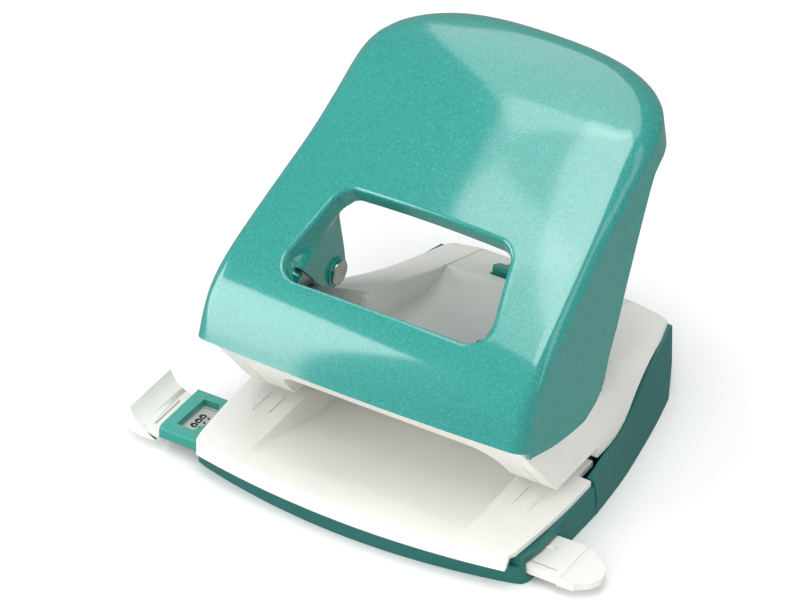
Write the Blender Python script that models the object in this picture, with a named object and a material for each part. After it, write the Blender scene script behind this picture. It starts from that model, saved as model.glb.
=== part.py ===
"""Two-hole paper punch with a pressed steel lever, moulded cover, paper table,
swing-down chip tray and sliding paper guide.

All lengths below are in millimetres. X runs left to right with the symmetry plane at x = 0,
Y runs from the paper side to the back, Z points up. The origin lies midway between the two
punched holes, on the surface the punch stands on.
"""

import math

import bmesh
import bpy
from mathutils import Matrix, Vector

MM = 0.001

# driving dimensions
HOLE_SPACING = 80.0
PUNCH_X = HOLE_SPACING / 2
PUNCH_RADIUS = 2.75
HOLE_CLEARANCE = 0.3
GAP = 0.3

AXLE_Y = -21.0
AXLE_Z = 45.0
AXLE_RADIUS = 2.0
DRIVE_PIN_Z = 53.0
DRIVE_PIN_RADIUS = 1.8

SHEET = 1.5
FOLD_RADIUS = 4.4
RIM_RADIUS = 2.0
EAR_INNER_X = 29.6
FLANGE_FLARE = 0.05

TABLE_TOP = 11.7
TABLE_SINK = 7.0
TABLE_WALL = 1.8
STRIP_INNER_X = 35.2
LEG_BOTTOM = 16.6
LEG_INNER_X = 34.8
COVER_WALL = 2.0
SLOT_END = 9.5
SEAM_Y = 1.0
FLOOR = 1.8
BASE_SIDE_TOP = 11.3
BASE_FRONT_TOP = 6.6

RAIL_FRONT = -34.8
RAIL_BACK = -19.4
RAIL_BOTTOM = 3.2
RAIL_TOP = 6.4
RAIL_LEFT = -65.7
RAIL_RIGHT = 51.5

HINGE_Y = -12.5
HINGE_Z = 2.8

LOCK_HALF = 12.9


# ---------------------------------------------------------------- general helpers

def clear_scene():
    for item in list(bpy.data.objects):
        bpy.data.objects.remove(item, do_unlink=True)


def material(name, colour, roughness, metallic=0.0):
    made = bpy.data.materials.new(name)
    made.use_nodes = True
    shader = made.node_tree.nodes["Principled BSDF"]
    shader.inputs["Base Color"].default_value = (*colour, 1.0)
    shader.inputs["Roughness"].default_value = roughness
    shader.inputs["Metallic"].default_value = metallic
    made.diffuse_color = (*colour, 1.0)
    return made


def finish(name, bm, look, origin=(0, 0, 0), smooth=False):
    """Turn a bmesh in millimetres into a named object whose origin is the given point."""
    bmesh.ops.recalc_face_normals(bm, faces=bm.faces)
    bmesh.ops.translate(bm, verts=bm.verts, vec=-Vector(origin))
    bmesh.ops.scale(bm, verts=bm.verts, vec=(MM, MM, MM))
    mesh = bpy.data.meshes.new(name)
    bm.to_mesh(mesh)
    bm.free()
    if smooth:
        mesh.shade_smooth()
        mesh.set_sharp_from_angle(angle=math.radians(35))
    made = bpy.data.objects.new(name, mesh)
    made.location = Vector(origin) * MM
    bpy.context.scene.collection.objects.link(made)
    if look:
        mesh.materials.append(look)
    return made


def hide_tool(tool):
    tool.hide_render = True
    tool.display_type = 'WIRE'


def boolean(target, bm, operation):
    """Cut or join a bmesh, drawn in world millimetres, with the target object."""
    tool = finish(target.name + "_tool", bm, None)
    hide_tool(tool)
    step = target.modifiers.new(operation.lower(), 'BOOLEAN')
    step.operation = operation
    step.solver = 'EXACT'
    step.object = tool


def cut(target, bm):
    boolean(target, bm, 'DIFFERENCE')


def join(target, bm):
    boolean(target, bm, 'UNION')


def add_box(bm, low, high):
    size = [high[i] - low[i] for i in range(3)]
    centre = [(high[i] + low[i]) / 2 for i in range(3)]
    place = Matrix.Translation(centre) @ Matrix.Diagonal((*size, 1.0))
    bmesh.ops.create_cube(bm, size=1.0, matrix=place)


def add_rod(bm, start, end, radius, sides=24, end_radius=None):
    start = Vector(start)
    end = Vector(end)
    turn = Vector((0, 0, 1)).rotation_difference(end - start).to_matrix().to_4x4()
    place = Matrix.Translation((start + end) / 2) @ turn
    top = radius if end_radius is None else end_radius
    bmesh.ops.create_cone(bm, cap_ends=True, segments=sides, radius1=radius, radius2=top,
                          depth=(end - start).length, matrix=place)


def add_ring(bm, axis_start, axis_end, outer, inner, sides=24):
    """Closed ring between two points of its axis, made by spinning its section once round."""
    start = Vector(axis_start)
    along = Vector(axis_end) - start
    side = along.orthogonal().normalized()
    section = [bm.verts.new(start + side * r + along * t)
               for r, t in ((inner, 0), (outer, 0), (outer, 1), (inner, 1))]
    edges = [bm.edges.new((section[i - 1], section[i])) for i in range(4)]
    bmesh.ops.spin(bm, geom=edges + section, cent=start, axis=along.normalized(),
                   angle=2 * math.pi, steps=sides)
    bmesh.ops.remove_doubles(bm, verts=bm.verts, dist=0.001)


def add_prism(bm, outline, axis, low, high):
    """Extrude a closed outline along axis 'X', 'Y' or 'Z' from low to high."""
    def place(a, b, depth):
        return {'X': (depth, a, b), 'Y': (a, depth, b), 'Z': (a, b, depth)}[axis]
    face = bm.faces.new([bm.verts.new(place(a, b, low)) for a, b in outline])
    grown = bmesh.ops.extrude_face_region(bm, geom=[face])
    tops = [v for v in grown["geom"] if isinstance(v, bmesh.types.BMVert)]
    shift = Vector(place(0, 0, high)) - Vector(place(0, 0, low))
    bmesh.ops.translate(bm, verts=tops, vec=shift)


def add_loft(bm, sections):
    """Close a body through sections that all have the same number of points."""
    loops = []
    for section in sections:
        loops.append([bm.verts.new(point) for point in section])
    for first, second in zip(loops, loops[1:]):
        strip(bm, first, second, closed=True)
    bm.faces.new(loops[0])
    bm.faces.new(list(reversed(loops[-1])))
    bmesh.ops.triangulate(bm, faces=bm.faces)


def strip(bm, first, second, closed):
    count = len(first)
    for i in range(count if closed else count - 1):
        j = (i + 1) % count
        bm.faces.new((first[i], first[j], second[j], second[i]))


def arc(centre, radius, start, end, steps):
    """Points on an arc, angles in degrees."""
    points = []
    for i in range(steps + 1):
        angle = math.radians(start + (end - start) * i / steps)
        points.append((centre[0] + radius * math.cos(angle), centre[1] + radius * math.sin(angle)))
    return points


def along_curve(keys, steps):
    """Smooth curve through the key points, as a chain of points."""
    padded = [2 * keys[0] - keys[1], *keys, 2 * keys[-1] - keys[-2]]
    points = []
    for a, b, c, d in zip(padded, padded[1:], padded[2:], padded[3:]):
        for i in range(steps):
            t = i / steps
            points.append(0.5 * (2 * b + (c - a) * t + (2 * a - 5 * b + 4 * c - d) * t * t
                                 + (3 * b - a - 3 * c + d) * t ** 3))
    points.append(keys[-1])
    return points


def between(value, stations):
    """Straight-line interpolation in a list of (position, amount) pairs."""
    if value <= stations[0][0]:
        return stations[0][1]
    for (a, low), (b, high) in zip(stations, stations[1:]):
        if value <= b:
            return low + (high - low) * (value - a) / (b - a)
    return stations[-1][1]


# ---------------------------------------------------------------- pressed lever

LEVER_SIDE = [(-37.2, 47.0), (-33.0, 57.4), (-24.6, 65.4), (-3.9, 76.4),
              (17.4, 87.2), (36.5, 99.0), (48.5, 103.6), (66.0, 103.2)]
LEVER_HALF_WIDTH = [(0, 49.0), (23, 48.3), (46, 46.7), (70, 44.3), (84, 42.7),
                    (100, 40.6), (116, 38.2)]
LEVER_CROWN = [(0, 2.2), (22, 2.6), (50, 4.3), (85, 4.8), (127, 4.2)]
TOP_ARC_START = 83.0
TOP_ARC_HEIGHT = 32.6
TOP_ARC_POWER = 4.0
FLANGE_EDGE = [(-32.0, 41.1), (-20.8, 38.1), (-12.4, 36.9), (-4.1, 36.0), (3.2, 37.4),
               (8.5, 40.8), (11.8, 46.5), (18.9, 54.5), (27.0, 66.0), (46.0, 93.0)]
WINDOW_LOW = 24.5
WINDOW_HIGH = 53.0
WINDOW_LOW_HALF = 33.4
WINDOW_HIGH_HALF = 29.6
WINDOW_CORNER = 7.5
WINDOW_ARCH = 2.0


class LeverSkin:
    """Outer skin of the lever plate: x across, s the distance up its side profile."""

    def __init__(self):
        keys = [Vector(point) for point in LEVER_SIDE]
        self.points = along_curve(keys, 12)
        self.lengths = [0.0]
        for a, b in zip(self.points, self.points[1:]):
            self.lengths.append(self.lengths[-1] + (b - a).length)

    def side(self, s):
        for i in range(1, len(self.lengths)):
            if s <= self.lengths[i] or i == len(self.lengths) - 1:
                a, b = self.points[i - 1], self.points[i]
                t = (s - self.lengths[i - 1]) / (self.lengths[i] - self.lengths[i - 1])
                return a + (b - a) * t
        return self.points[-1]

    def side_normal(self, s):
        run = self.side(s + 1.5) - self.side(s - 1.5)
        return Vector((-run.y, run.x)).normalized()

    def half_width(self, s):
        return between(s, LEVER_HALF_WIDTH)

    def point(self, x, s):
        wide = self.half_width(min(s, TOP_ARC_START))
        crown = between(s, LEVER_CROWN) * (1 - (x / wide) ** 2)
        place = self.side(s) + self.side_normal(s) * crown
        return Vector((x, place.x, place.y))

    def normal(self, x, s):
        across = self.point(x + 0.5, s) - self.point(x - 0.5, s)
        up = self.point(x, s + 0.5) - self.point(x, s - 0.5)
        return across.cross(up).normalized()

    def outward(self, x, s, dx, ds):
        """Unit vector in the skin, along the flat direction (dx, ds)."""
        step = 0.2
        return (self.point(x + dx * step, s + ds * step) - self.point(x, s)).normalized()


def lever_outline(skin, bottom_steps, side_steps, top_steps):
    """Outline of the flat plate as (x, s), anticlockwise from the lower left corner."""
    points = []
    half = skin.half_width(0)
    for i in range(bottom_steps):
        points.append((-half + 2 * half * i / bottom_steps, 0.0))
    for i in range(side_steps):
        s = TOP_ARC_START * i / side_steps
        points.append((skin.half_width(s), s))
    dome = []
    for i in range(201):
        angle = math.pi * i / 200
        rise = math.sin(angle) ** (2 / TOP_ARC_POWER)
        s = TOP_ARC_START + TOP_ARC_HEIGHT * rise
        reach = skin.half_width(s) * abs(math.cos(angle)) ** (2 / TOP_ARC_POWER)
        dome.append((math.copysign(reach, math.cos(angle)), s))
    points += spread(dome, top_steps)
    for i in range(side_steps - 1, 0, -1):
        s = TOP_ARC_START * i / side_steps
        points.append((-skin.half_width(s), s))
    return points


def window_outline(bottom_steps, side_steps, top_steps):
    """Outline of the finger window as (x, s), starting and turning like the plate outline."""
    r = WINDOW_CORNER
    low, high = WINDOW_LOW, WINDOW_HIGH
    wide, narrow = WINDOW_LOW_HALF, WINDOW_HIGH_HALF
    lower = (arc((-wide + r, low + r), r, 225, 270, 2) + arc((wide - r, low + r), r, 270, 315, 2))
    upper = arc((narrow - r, high - r), r, 20, 90, 3) + arc((-narrow + r, high - r), r, 90, 160, 3)
    upper = [(x, s + WINDOW_ARCH * (1 - (x / narrow) ** 2)) for x, s in upper]
    points = spread(lower, bottom_steps)[:-1]
    points += spread([lower[-1], (wide, low + r), upper[0]], side_steps)[:-1]
    points += spread(upper, top_steps)
    points += spread([upper[-1], (-wide, low + r), lower[0]], side_steps)[1:-1]
    return points


def spread(chain, steps):
    """The same chain cut into equal steps of length."""
    chain = [Vector(point) for point in chain]
    lengths = [0.0]
    for a, b in zip(chain, chain[1:]):
        lengths.append(lengths[-1] + (b - a).length)
    points = []
    for i in range(steps + 1):
        want = lengths[-1] * i / steps
        for k in range(1, len(chain)):
            if want <= lengths[k] + 1e-9:
                t = (want - lengths[k - 1]) / max(lengths[k] - lengths[k - 1], 1e-9)
                place = chain[k - 1] + (chain[k] - chain[k - 1]) * t
                points.append((place.x, place.y))
                break
    return points


def edge_directions(outline):
    """Outward direction of the outline at each of its points, in the flat (x, s)."""
    directions = []
    count = len(outline)
    for i in range(count):
        before, after = Vector(outline[i - 1]), Vector(outline[(i + 1) % count])
        run = (after - before).normalized()
        directions.append(Vector((run.y, -run.x)))
    return directions


def flange_depth(start, down):
    """Distance from the fold, along down, to the free edge of the side flange."""
    for a, b in zip(FLANGE_EDGE, FLANGE_EDGE[1:]):
        edge = Vector(b) - Vector(a)
        gap = Vector(a) - start
        cross = down.x * edge.y - down.y * edge.x
        if abs(cross) < 1e-9:
            continue
        depth = (gap.x * edge.y - gap.y * edge.x) / cross
        share = (gap.x * down.y - gap.y * down.x) / cross
        if 0 <= share <= 1 and depth > 0:
            return depth
    return 5.0


def press_lever(look):
    skin = LeverSkin()
    bottom, side, top = 8, 8, 16
    outer = lever_outline(skin, bottom, side, top)
    inner = window_outline(bottom, side, top)
    outer_out = edge_directions(outer)
    inner_out = edge_directions(inner)
    bm = bmesh.new()
    rings = []
    for t in (0.0, 0.33, 0.67, 1.0):
        ring = []
        for (ax, a_s), (bx, b_s) in zip(inner, outer):
            ring.append(bm.verts.new(skin.point(ax + (bx - ax) * t, a_s + (b_s - a_s) * t)))
        rings.append(ring)
    for first, second in zip(rings, rings[1:]):
        strip(bm, second, first, closed=True)

    # fold and flange along the two sides and the top
    chain = list(range(bottom, len(outer))) + [0]
    previous = [rings[-1][i] for i in chain]
    folds = [[] for _ in range(4)]
    for i in chain:
        x, s = outer[i]
        out = Vector(outer_out[i])
        if i in (bottom, 0):
            out = Vector((1.0 if x > 0 else -1.0, 0.0))
        away = skin.outward(x, s, out.x, out.y)
        normal = skin.normal(x, s)
        start = skin.point(x, s)
        for k, angle in enumerate((30, 60, 90)):
            turn = math.radians(angle)
            folds[k].append(start + FOLD_RADIUS * (math.sin(turn) * away
                                                   - (1 - math.cos(turn)) * normal))
        fold = folds[2][-1]
        down = Vector((-normal.y, -normal.z)).normalized()
        depth = flange_depth(Vector((fold.y, fold.z)), down)
        if s > TOP_ARC_START:
            lift = (s - TOP_ARC_START) / TOP_ARC_HEIGHT
            depth = min(depth, 9.0 + 4.0 * (1 - lift)) if depth < 9.0 else depth
            depth = max(5.5, min(depth, 14.0 - 8.0 * lift))
        edge = fold + Vector((0, down.x, down.y)) * depth
        edge.x += math.copysign(FLANGE_FLARE * depth, x) if abs(x) > 20 else 0.0
        folds[3].append(edge)
    for row in folds:
        fresh = [bm.verts.new(point) for point in row]
        strip(bm, fresh, previous, closed=False)
        previous = fresh

    # rim turned down round the window
    previous = rings[0]
    for angle, extra in ((35, 0.0), (75, 0.0), (90, 1.0)):
        fresh = []
        turn = math.radians(angle)
        for i, (x, s) in enumerate(inner):
            out = -inner_out[i]
            away = skin.outward(x, s, out.x, out.y)
            normal = skin.normal(x, s)
            upper = max(0.0, min(1.0, (s - WINDOW_LOW - 6) / 18))
            point = skin.point(x, s) + RIM_RADIUS * (math.sin(turn) * away
                                                     - (1 - math.cos(turn)) * normal)
            fresh.append(bm.verts.new(point - normal * extra * (0.6 + 4.4 * upper)))
        strip(bm, previous, fresh, closed=True)
        previous = fresh

    lever = finish("press_lever", bm, look, origin=(0, AXLE_Y, AXLE_Z), smooth=True)
    wall = lever.modifiers.new("sheet", 'SOLIDIFY')
    wall.thickness = SHEET * MM
    wall.offset = -1.0
    for hand in (-1, 1):
        join(lever, ear_plate(hand))
        holes = bmesh.new()
        reach = (hand * (EAR_INNER_X - 3), hand * (EAR_INNER_X + 5))
        add_rod(holes, (reach[0], AXLE_Y, AXLE_Z), (reach[1], AXLE_Y, AXLE_Z),
                AXLE_RADIUS + GAP)
        add_rod(holes, (reach[0], 0, DRIVE_PIN_Z), (reach[1], 0, DRIVE_PIN_Z),
                DRIVE_PIN_RADIUS + GAP)
        cut(lever, holes)
    return lever


def ear_plate(hand):
    """Ear bent down from the window's side: front lobe on the axle, rear lobe on the drive pin."""
    outline = [(-27.5, 62.6), (-27.0, 48.0)]
    outline += arc((AXLE_Y, AXLE_Z), 6.0, 170, 350, 6)
    outline += [(-13.5, 53.5), (-8.5, 55.5)]
    outline += arc((0.0, DRIVE_PIN_Z), 6.2, 200, 360, 6)
    outline += [(5.5, 62.0), (5.0, 70.0), (0.5, 79.6), (-4.0, 77.5), (-16.0, 71.0), (-24.0, 66.0)]
    bm = bmesh.new()
    ends = sorted((hand * EAR_INNER_X, hand * (EAR_INNER_X + SHEET)))
    add_prism(bm, outline, 'X', *ends)
    return bm


def drive_pin(hand, look):
    """Steel pin that pushes the punch; its disc head shows inside the finger window."""
    bm = bmesh.new()
    head = hand * (EAR_INNER_X - 3.4)
    neck = hand * (EAR_INNER_X - 2.0)
    tip = hand * (PUNCH_X + 4.2)
    add_rod(bm, (head, 0, DRIVE_PIN_Z), (neck, 0, DRIVE_PIN_Z), 3.75, sides=28)
    made = finish(f"drive_pin_{side_name(hand)}", bm, look, (0, AXLE_Y, AXLE_Z), smooth=True)
    shank = bmesh.new()
    add_rod(shank, (neck - hand * 0.5, 0, DRIVE_PIN_Z), (tip, 0, DRIVE_PIN_Z), DRIVE_PIN_RADIUS)
    join(made, shank)
    return made


def pin_collar(hand, look):
    """Painted collar between the ear and the pin's head."""
    bm = bmesh.new()
    add_ring(bm, (hand * (EAR_INNER_X - GAP), 0, DRIVE_PIN_Z),
             (hand * (EAR_INNER_X - 1.7), 0, DRIVE_PIN_Z), 4.3, DRIVE_PIN_RADIUS + GAP)
    return finish(f"pin_collar_{side_name(hand)}", bm, look, (0, AXLE_Y, AXLE_Z), smooth=True)


def side_name(hand):
    return "left" if hand < 0 else "right"


# ---------------------------------------------------------------- punch units

GUIDE_LOW = 18.2
GUIDE_HIGH = 24.0
DIE_BOTTOM = 8.0
FRAME_SHEET = 1.6
FRAME_INNER_X = 36.6
FRAME_SIDE_X = 45.4
WEB_Y = 12.6
WASHER_Z = 44.2


def pivot_axle(look):
    bm = bmesh.new()
    end = FRAME_SIDE_X + FRAME_SHEET + 1.6
    add_rod(bm, (-end, AXLE_Y, AXLE_Z), (end, AXLE_Y, AXLE_Z), AXLE_RADIUS)
    return finish("pivot_axle", bm, look, smooth=True)


def axle_clip(hand, look):
    bm = bmesh.new()
    start = FRAME_SIDE_X + FRAME_SHEET + GAP
    add_ring(bm, (hand * start, AXLE_Y, AXLE_Z), (hand * (start + 0.8), AXLE_Y, AXLE_Z),
             4.2, AXLE_RADIUS + GAP)
    gap = bmesh.new()
    add_box(gap, (hand * (start + 0.4) - 1, AXLE_Y - 6, AXLE_Z - 1.2),
            (hand * (start + 0.4) + 1, AXLE_Y, AXLE_Z + 1.2))
    made = finish(f"axle_clip_{side_name(hand)}", bm, look, smooth=True)
    cut(made, gap)
    return made


def punch_frame(hand, look):
    """Stamped steel C-frame: die flange below the paper slot, two guide flanges and an axle arm."""
    def across(a, b):
        return sorted((hand * a, hand * b))
    rear = WEB_Y + FRAME_SHEET
    throat_top = GUIDE_LOW
    outline = [(-7, DIE_BOTTOM), (rear, DIE_BOTTOM), (rear, 30.0), (4.0, 37.0), (-13.5, 47.5)]
    outline += arc((AXLE_Y, AXLE_Z), 5.4, 30, 230, 7)
    outline += [(-11.4, 32.4), (-8.6, 26.0), (-7.0, throat_top), (WEB_Y, throat_top),
                (WEB_Y, DIE_BOTTOM + FRAME_SHEET), (-7, DIE_BOTTOM + FRAME_SHEET)]
    bm = bmesh.new()
    add_prism(bm, outline, 'X', *across(FRAME_SIDE_X, FRAME_SIDE_X + FRAME_SHEET))
    made = finish(f"punch_frame_{side_name(hand)}", bm, look)
    low_x, high_x = across(FRAME_INNER_X, FRAME_SIDE_X + 0.5)
    for z in (DIE_BOTTOM, GUIDE_LOW, GUIDE_HIGH):
        flange = bmesh.new()
        back = rear - 0.1 if z < GUIDE_HIGH else 7.0
        add_box(flange, (low_x, -6.9, z), (high_x, back, z + FRAME_SHEET))
        join(made, flange)
    web = bmesh.new()
    add_box(web, (low_x, WEB_Y, DIE_BOTTOM + 0.1), (high_x, rear - 0.1, GUIDE_LOW + 1.5))
    join(made, web)
    bores = bmesh.new()
    add_rod(bores, (hand * PUNCH_X, 0, 4), (hand * PUNCH_X, 0, 40), PUNCH_RADIUS + HOLE_CLEARANCE)
    cut(made, bores)
    pivot = bmesh.new()
    low_x, high_x = across(FRAME_SIDE_X - 1, FRAME_SIDE_X + 3)
    add_rod(pivot, (low_x, AXLE_Y, AXLE_Z), (high_x, AXLE_Y, AXLE_Z), AXLE_RADIUS + GAP)
    cut(made, pivot)
    return made


def punch(hand, look):
    """Hardened punch: notched tip below, slotted head above for the drive pin."""
    x = hand * PUNCH_X
    bm = bmesh.new()
    add_rod(bm, (x, 0, LEG_BOTTOM + 0.4), (x, 0, 46.5), PUNCH_RADIUS)
    made = finish(f"punch_{side_name(hand)}", bm, look, (x, 0, DRIVE_PIN_Z), smooth=True)
    head = bmesh.new()
    add_box(head, (x - 2.4, -5.2, 45.8), (x + 2.4, 5.2, 59.0))
    join(made, head)
    slot = bmesh.new()
    reach = DRIVE_PIN_RADIUS + HOLE_CLEARANCE
    outline = arc((-0.4, DRIVE_PIN_Z), reach, 90, 270, 8) + arc((1.8, DRIVE_PIN_Z), reach, -90, 90, 8)
    add_prism(slot, outline, 'X', x - 4, x + 4)
    cut(made, slot)
    notch = bmesh.new()
    tip = LEG_BOTTOM + 0.4
    add_prism(notch, [(-4, tip - 1), (4, tip - 1), (2.9, tip), (0, tip + 1.3), (-2.9, tip)],
              'Y', -4, 4)
    bmesh.ops.translate(notch, verts=notch.verts, vec=(x, 0, 0))
    cut(made, notch)
    return made


def spring_washer(hand, look):
    x = hand * PUNCH_X
    bm = bmesh.new()
    add_ring(bm, (x, 0, WASHER_Z), (x, 0, WASHER_Z + 1.2), 4.8, PUNCH_RADIUS + HOLE_CLEARANCE)
    return finish(f"spring_washer_{side_name(hand)}", bm, look, (x, 0, DRIVE_PIN_Z), smooth=True)


def coil_spring(name, base, coil_radius, wire_radius, length, turns, look):
    """Compression spring: a wire section swept along its helix, with closed ends."""
    per_turn, sides = 14, 6
    steps = turns * per_turn
    sections = []
    for i in range(steps + 1):
        share = i / steps
        angle = 2 * math.pi * turns * share
        rise = wire_radius + (length - 2 * wire_radius) * share
        radial = Vector((math.cos(angle), math.sin(angle), 0))
        centre = radial * coil_radius + Vector((0, 0, rise))
        section = []
        for k in range(sides):
            a = 2 * math.pi * k / sides
            section.append(centre + wire_radius * (radial * math.cos(a)
                                                   + Vector((0, 0, 1)) * math.sin(a)))
        sections.append(section)
    bm = bmesh.new()
    add_loft(bm, sections)
    bmesh.ops.translate(bm, verts=bm.verts, vec=base)
    return finish(name, bm, look, base, smooth=True)


# ---------------------------------------------------------------- cover

# (y, half width at the foot, foot height, half width at the edge, edge height, shoulder height)
COVER_STATIONS = [
    (-34.6, 50.0, 38.0, 50.0, 40.6, 44.6),
    (-13.2, 50.3, LEG_BOTTOM, 50.2, 40.6, 45.0),
    (SLOT_END - 0.1, 50.3, LEG_BOTTOM, 49.6, 35.2, 41.8),
    (SLOT_END + 0.1, 51.6, 12.6, 49.6, 35.2, 41.8),
    (22.0, 49.2, 12.4, 47.2, 29.9, 36.9),
    (39.0, 45.4, 14.8, 43.6, 23.4, 30.2),
    (54.0, 42.0, 16.0, 40.4, 18.8, 24.8),
    (62.0, 40.3, 15.6, 38.6, 17.2, 21.8),
    (74.0, 37.6, 13.6, 36.0, 15.6, 17.4),
]
SHOULDER_X = 25.0


def cover_section(station, inset=0.0, lower=0.0):
    y, foot, foot_z, edge, edge_z, top_z = station
    foot -= inset
    edge -= inset
    foot_z -= lower
    edge_z -= inset
    top_z -= inset
    return [(foot, y, foot_z), (edge, y, edge_z), (SHOULDER_X, y, top_z),
            (-SHOULDER_X, y, top_z), (-edge, y, edge_z), (-foot, y, foot_z)]


def top_cover(look):
    bm = bmesh.new()
    add_loft(bm, [cover_section(station) for station in COVER_STATIONS])
    cover = finish("top_cover", bm, look)

    # paper throat between the two legs, wider at its mouth
    throat = bmesh.new()
    add_prism(throat, [(-45, -2), (11.0, -2), (11.0, 17.5), (6.0, 20.0), (-31.0, 37.0), (-45, 43.0)],
              'X', -LEG_INNER_X, LEG_INNER_X)
    cut(cover, throat)
    mouth = bmesh.new()
    add_prism(mouth, [(-45, 10), (-13.0, 10), (-13.0, 27.5), (-31.0, 37.0), (-45, 43.0)],
              'X', -40.0, 40.0)
    cut(cover, mouth)

    # well under the lever that holds both punch units
    well = bmesh.new()
    add_prism(well, [(-31.8, 39.4), (9.4, 21.2), (9.4, 60), (-31.8, 60)], 'X', -48.2, 48.2)
    cut(cover, well)
    for hand in (-1, 1):
        pocket = bmesh.new()
        low_x, high_x = sorted((hand * (LEG_INNER_X + 1.4), hand * 48.2))
        add_prism(pocket, [(-11.9, 17.9), (12.1, 17.9), (12.1, 5.0), (14.8, 5.0), (14.8, 33.0),
                           (9.0, 35.0), (-11.9, 35.0)], 'X', low_x, high_x)
        cut(cover, pocket)
        bore = bmesh.new()
        add_rod(bore, (hand * PUNCH_X, 0, 10), (hand * PUNCH_X, 0, 20), PUNCH_RADIUS + 0.6)
        cut(cover, bore)

    # hollow of the rear half, open below
    hollow = bmesh.new()
    rear = COVER_STATIONS[4:]
    first = (13.0, 49.8, 12.5, 48.4, 33.6, 40.4)
    sections = [cover_section(first, COVER_WALL, 30), ]
    sections += [cover_section(station, COVER_WALL, 30) for station in rear[:-1]]
    last = (72.0, 37.9, 13.6, 36.2, 15.9, 18.1)
    sections.append(cover_section(last, COVER_WALL, 30))
    add_loft(hollow, sections)
    cut(cover, hollow)

    # sunk tray between the shoulders, with its own floor and walls
    floor_line = [(9.0, 28.4), (50.5, 21.0)]
    tub = bmesh.new()
    add_prism(tub, [(8.0, floor_line[0][1] - 2), (52.4, floor_line[1][1] - 2),
                    (52.4, 23.6), (8.0, 40.6)], 'X', -SHOULDER_X - 1.4, SHOULDER_X + 1.4)
    join(cover, tub)
    sink = bmesh.new()
    add_prism(sink, [(5.0, 29.1), (50.5, 21.0), (50.5, 60), (5.0, 60)], 'X',
              -SHOULDER_X + 0.6, SHOULDER_X - 0.6)
    cut(cover, sink)

    # slot in the rear deck for the lever lock
    slot = bmesh.new()
    add_box(slot, (-LOCK_HALF - GAP, 56.5, 10.0), (LOCK_HALF + GAP, 69.5, 40.0))
    cut(cover, slot)
    return cover


# ---------------------------------------------------------------- paper table and base

def front_bulge(x, corner_y, half, bulge):
    return corner_y - bulge * (1 - (x / half) ** 2)


def paper_table(look):
    """Moulded table: level strips under the legs, a panel between them that dips to the back."""
    columns = [-1.0, -0.86, -0.70, -0.685, -0.45, -0.2, 0.2, 0.45, 0.685, 0.70, 0.86, 1.0]
    rows = []
    for share, half_low, half_top in ((0, 48.6, 49.6),):
        rows.append([(c * half_low, front_bulge(c * half_low, -41.4, 49, 5.0), 6.9)
                     for c in columns])
        rows.append([(c * half_top, front_bulge(c * half_top, -40.2, 49, 5.2), TABLE_TOP)
                     for c in columns])
    for y, half, sink in ((-37.0, 49.9, 0.0), (-15.0, 51.6, 0.71), (-6.0, 51.8, 1.0),
                          (SEAM_Y - 0.3, 51.8, 1.0), (SEAM_Y - 0.1, 49.2, 1.0),
                          (SLOT_END - 0.5, 49.2, 1.0), (SLOT_END - 0.3, 44.8, 1.0),
                          (20.0, 44.8, 1.0)):
        row = []
        for c in columns:
            if abs(c) > 0.69:
                x = c * half if abs(c) > 0.75 else math.copysign(STRIP_INNER_X + 0.2, c)
                row.append((x, y, TABLE_TOP))
            else:
                x = math.copysign(STRIP_INNER_X - 0.4, c) if abs(c) > 0.6 else c * 50
                row.append((x, y, TABLE_TOP - (TABLE_TOP - TABLE_SINK) * sink))
        rows.append(row)
    bm = bmesh.new()
    loops = [[bm.verts.new(point) for point in row] for row in rows]
    for first, second in zip(loops, loops[1:]):
        strip(bm, first, second, closed=False)
    table = finish("paper_table", bm, look)
    wall = table.modifiers.new("wall", 'SOLIDIFY')
    wall.thickness = TABLE_WALL * MM
    wall.offset = -1.0
    bores = bmesh.new()
    for hand in (-1, 1):
        add_rod(bores, (hand * PUNCH_X, 0, 5), (hand * PUNCH_X, 0, 15), PUNCH_RADIUS + 0.6)
        low_x, high_x = sorted((hand * (FRAME_INNER_X - 0.5), hand * 47.5))
        add_box(bores, (low_x, WEB_Y - 0.4, 5), (high_x, 30, 15))
    cut(table, bores)
    return table


def base_outline(front_y, bulge, half_front, half_back, back_y, steps=8):
    points = []
    for i in range(steps + 1):
        x = -half_front + 2 * half_front * i / steps
        points.append((x, front_bulge(x, front_y, half_front, bulge)))
    points += [(half_back, -28.0), (half_back, back_y), (-half_back, back_y), (-half_back, -28.0)]
    return points


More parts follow.
